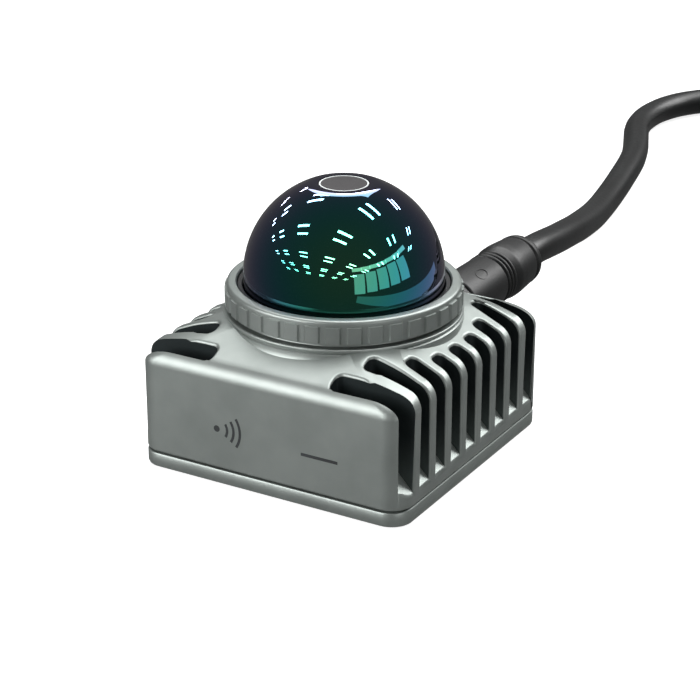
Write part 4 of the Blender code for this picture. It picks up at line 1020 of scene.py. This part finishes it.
def coil_tie(name, angle, top_reach):
    """A hook-and-loop strap round the coil's turns, the upper ones out to top_reach."""
    corners = [(30.5, 0.6), (55.4, 0.6), (55.6, 7.6), (top_reach, 16.1), (30.5, 16.1)]
    outline = rounded(corners, 3.2, 5)
    bm = bmesh.new()
    verts = [bm.verts.new((r * MM, -3.5 * MM, z * MM)) for r, z in outline]
    edges = [bm.edges.new(pair) for pair in zip(verts, verts[1:] + verts[:1])]
    across = bmesh.ops.extrude_edge_only(bm, edges=edges)["geom"]
    bmesh.ops.translate(bm, vec=(0, 7 * MM, 0),
                        verts=[v for v in across if isinstance(v, bmesh.types.BMVert)])
    bmesh.ops.recalc_face_normals(bm, faces=bm.faces)
    bmesh.ops.solidify(bm, geom=bm.faces[:], thickness=-0.5 * MM)
    centre = Vector((*COIL_CENTRE, 0)) * MM
    turn = Matrix.Translation(centre) @ Matrix.Rotation(math.radians(angle), 4, "Z")
    bmesh.ops.transform(bm, matrix=turn, verts=bm.verts)
    return make_piece(name, bm, "black_rubber", material=STRAP)


splitter_pieces = [splitter(), splitter_panel()]
ties = [coil_tie("coil_tie_near", 262, 40.5), coil_tie("coil_tie_far", 82, 48)]
network_pieces = network_plug()
power_pieces = power_plug()


# ---------------------------------------------------------------- finishes of the carried pieces
def paint_carried_nodes():
    """Every node that is shown as it stands gets its slot's finish."""
    for part in frame["record"]["subparts"]:
        node = frame["nodes"][part["node"]]
        finish = MATERIALS[part["material_slot"]]
        if part["node"].endswith("seal"):
            finish = SEAL_RUBBER
        node.data.materials.clear()
        node.data.materials.append(finish)


paint_carried_nodes()


# ---------------------------------------------------------------- floor and studio light
def studio_floor():
    bm = bmesh.new()
    bmesh.ops.create_grid(bm, x_segments=1, y_segments=1, size=8)
    mesh = bpy.data.meshes.new("floor")
    bm.to_mesh(mesh)
    bm.free()
    made = bpy.data.materials.new("pale_floor")  # matt white board: even and almost shadowless
    made.use_nodes = True
    fill(made.node_tree, made.node_tree.nodes["Principled BSDF"], {
        "Base Color": linear("#A8A8A8"), "Roughness": 0.9,
        "Emission Color": (1, 1, 1, 1), "Emission Strength": 0.84,
    })
    mesh.materials.append(made)
    floor = bpy.data.objects.new("floor", mesh)
    floor.location.z = -0.0002
    floor.visible_glossy = False  # shiny pieces don't mirror it, as over a dull table
    bpy.context.scene.collection.objects.link(floor)


def area_light(name, place, target, size, brightness, colour="#FFFFFF"):
    """A rectangle of light that faces its target. Brightness is that of its surface."""
    data = bpy.data.lights.new(name, "AREA")
    data.shape = "RECTANGLE"
    data.size, data.size_y = size
    data.energy = brightness * math.pi * size[0] * size[1]
    data.color = linear(colour)[:3]
    light = bpy.data.objects.new(name, data)
    light.location = place
    light.rotation_mode = "QUATERNION"
    light.rotation_quaternion = (Vector(target) - Vector(place)).to_track_quat("-Z", "Y")
    bpy.context.scene.collection.objects.link(light)
    return light


def light_only(lights, pieces, link_state):
    """Limits the lights: INCLUDE is to these pieces alone, EXCLUDE to everything else."""
    group = bpy.data.collections.new(f"lit_{link_state.lower()}")
    for piece in pieces:
        group.objects.link(piece)
    for member in group.collection_objects:
        member.light_linking.link_state = link_state
    for light in lights:
        light.light_linking.receiver_collection = group


def toward(azimuth, elevation, distance):
    """A point in a direction counted from -Y towards +X, and up from the horizon."""
    a, e = math.radians(azimuth), math.radians(elevation)
    flat = distance * math.cos(e)
    return Vector((flat * math.sin(a), -flat * math.cos(a), DOME_CENTRE + distance * math.sin(e)))


def ceiling_lamps():
    """Rows of paired tubes in the ceiling, which the polished dome mirrors."""
    lamps = []
    for x in (-6.6, -4.25, -1.75, 0.65, 2.97, 5.35):
        for y in (3.7, 1.0, -1.25, -3.6, -6.0, -8.4):
            for shift in (-0.28, 0.28):
                lamps.append(area_light("ceiling_tube", (x, y + shift, 2.55), (x, y + shift, 0),
                                        (0.82, 0.14), 55))
    return lamps


def window_wall():
    """A row of tall pale windows to the right of the camera, under a lit blind."""
    panes = []
    middle = Vector((0, 0, DOME_CENTRE))
    for azimuth, low, high in ((48, -3, 19), (62, -2, 20), (76, -1, 21), (90, 0, 22), (104, 1, 22)):
        width = 2 * 3.0 * math.tan(math.radians(5.9))
        tall = 3.0 * math.radians(high - low)
        panes.append(area_light("window_pane", toward(azimuth, (low + high) / 2, 3.0), middle,
                                (width, tall), 2.7, "#E2EAFF"))
    for azimuth in (46, 57, 68, 79, 90, 101, 112):
        panes.append(area_light("window_blind", toward(azimuth, 24 + (azimuth - 46) * 0.04, 3.0),
                                middle, (0.56, 0.2), 5.2, "#FFE6EC"))
    return panes


def studio_lights():
    world = bpy.data.worlds.new("studio")
    bpy.context.scene.world = world
    world.use_nodes = True
    tree = world.node_tree
    background = tree.nodes["Background"]
    background.inputs["Color"].default_value = (1, 1, 1, 1)
    path = add(tree, "ShaderNodeLightPath")
    strength = add(tree, "ShaderNodeMapRange", {
        "Value": path.outputs["Is Camera Ray"], "To Min": 0.16, "To Max": 1.0,
    })
    tree.links.new(strength.outputs["Result"], background.inputs["Strength"])
    soft = [
        area_light("top_soft_box", (0.0, 0.35, 1.1), (0, 0, 0.03), (1.4, 1.4), 5.0),
        area_light("front_soft_box", (-0.55, -0.95, 0.3), (0, 0, 0.02), (1.0, 0.6), 6.6),
        area_light("back_soft_box", (0.55, 1.0, 0.65), (0, 0, 0.02), (0.7, 0.5), 8.0),
        area_light("side_soft_box", (1.0, -0.45, 0.14), (0, 0, 0.02), (0.6, 0.24), 3.5),
    ]
    glossy = [bpy.data.objects["dome"]]
    light_only(soft, glossy, "EXCLUDE")
    shelf = area_light("back_strip", toward(-150, 43, 2.4), (0, 0, CROWN_HEIGHT), (1.5, 1.2), 7)
    table = area_light("pale_table", toward(100, -15, 1.2), (0, 0, DOME_CENTRE), (3.4, 0.26), 1.2,
                       "#A8C8E0")
    light_only([*ceiling_lamps(), *window_wall(), table, shelf], glossy, "INCLUDE")


studio_floor()
studio_lights()
bpy.context.scene.view_settings.view_transform = "Standard"
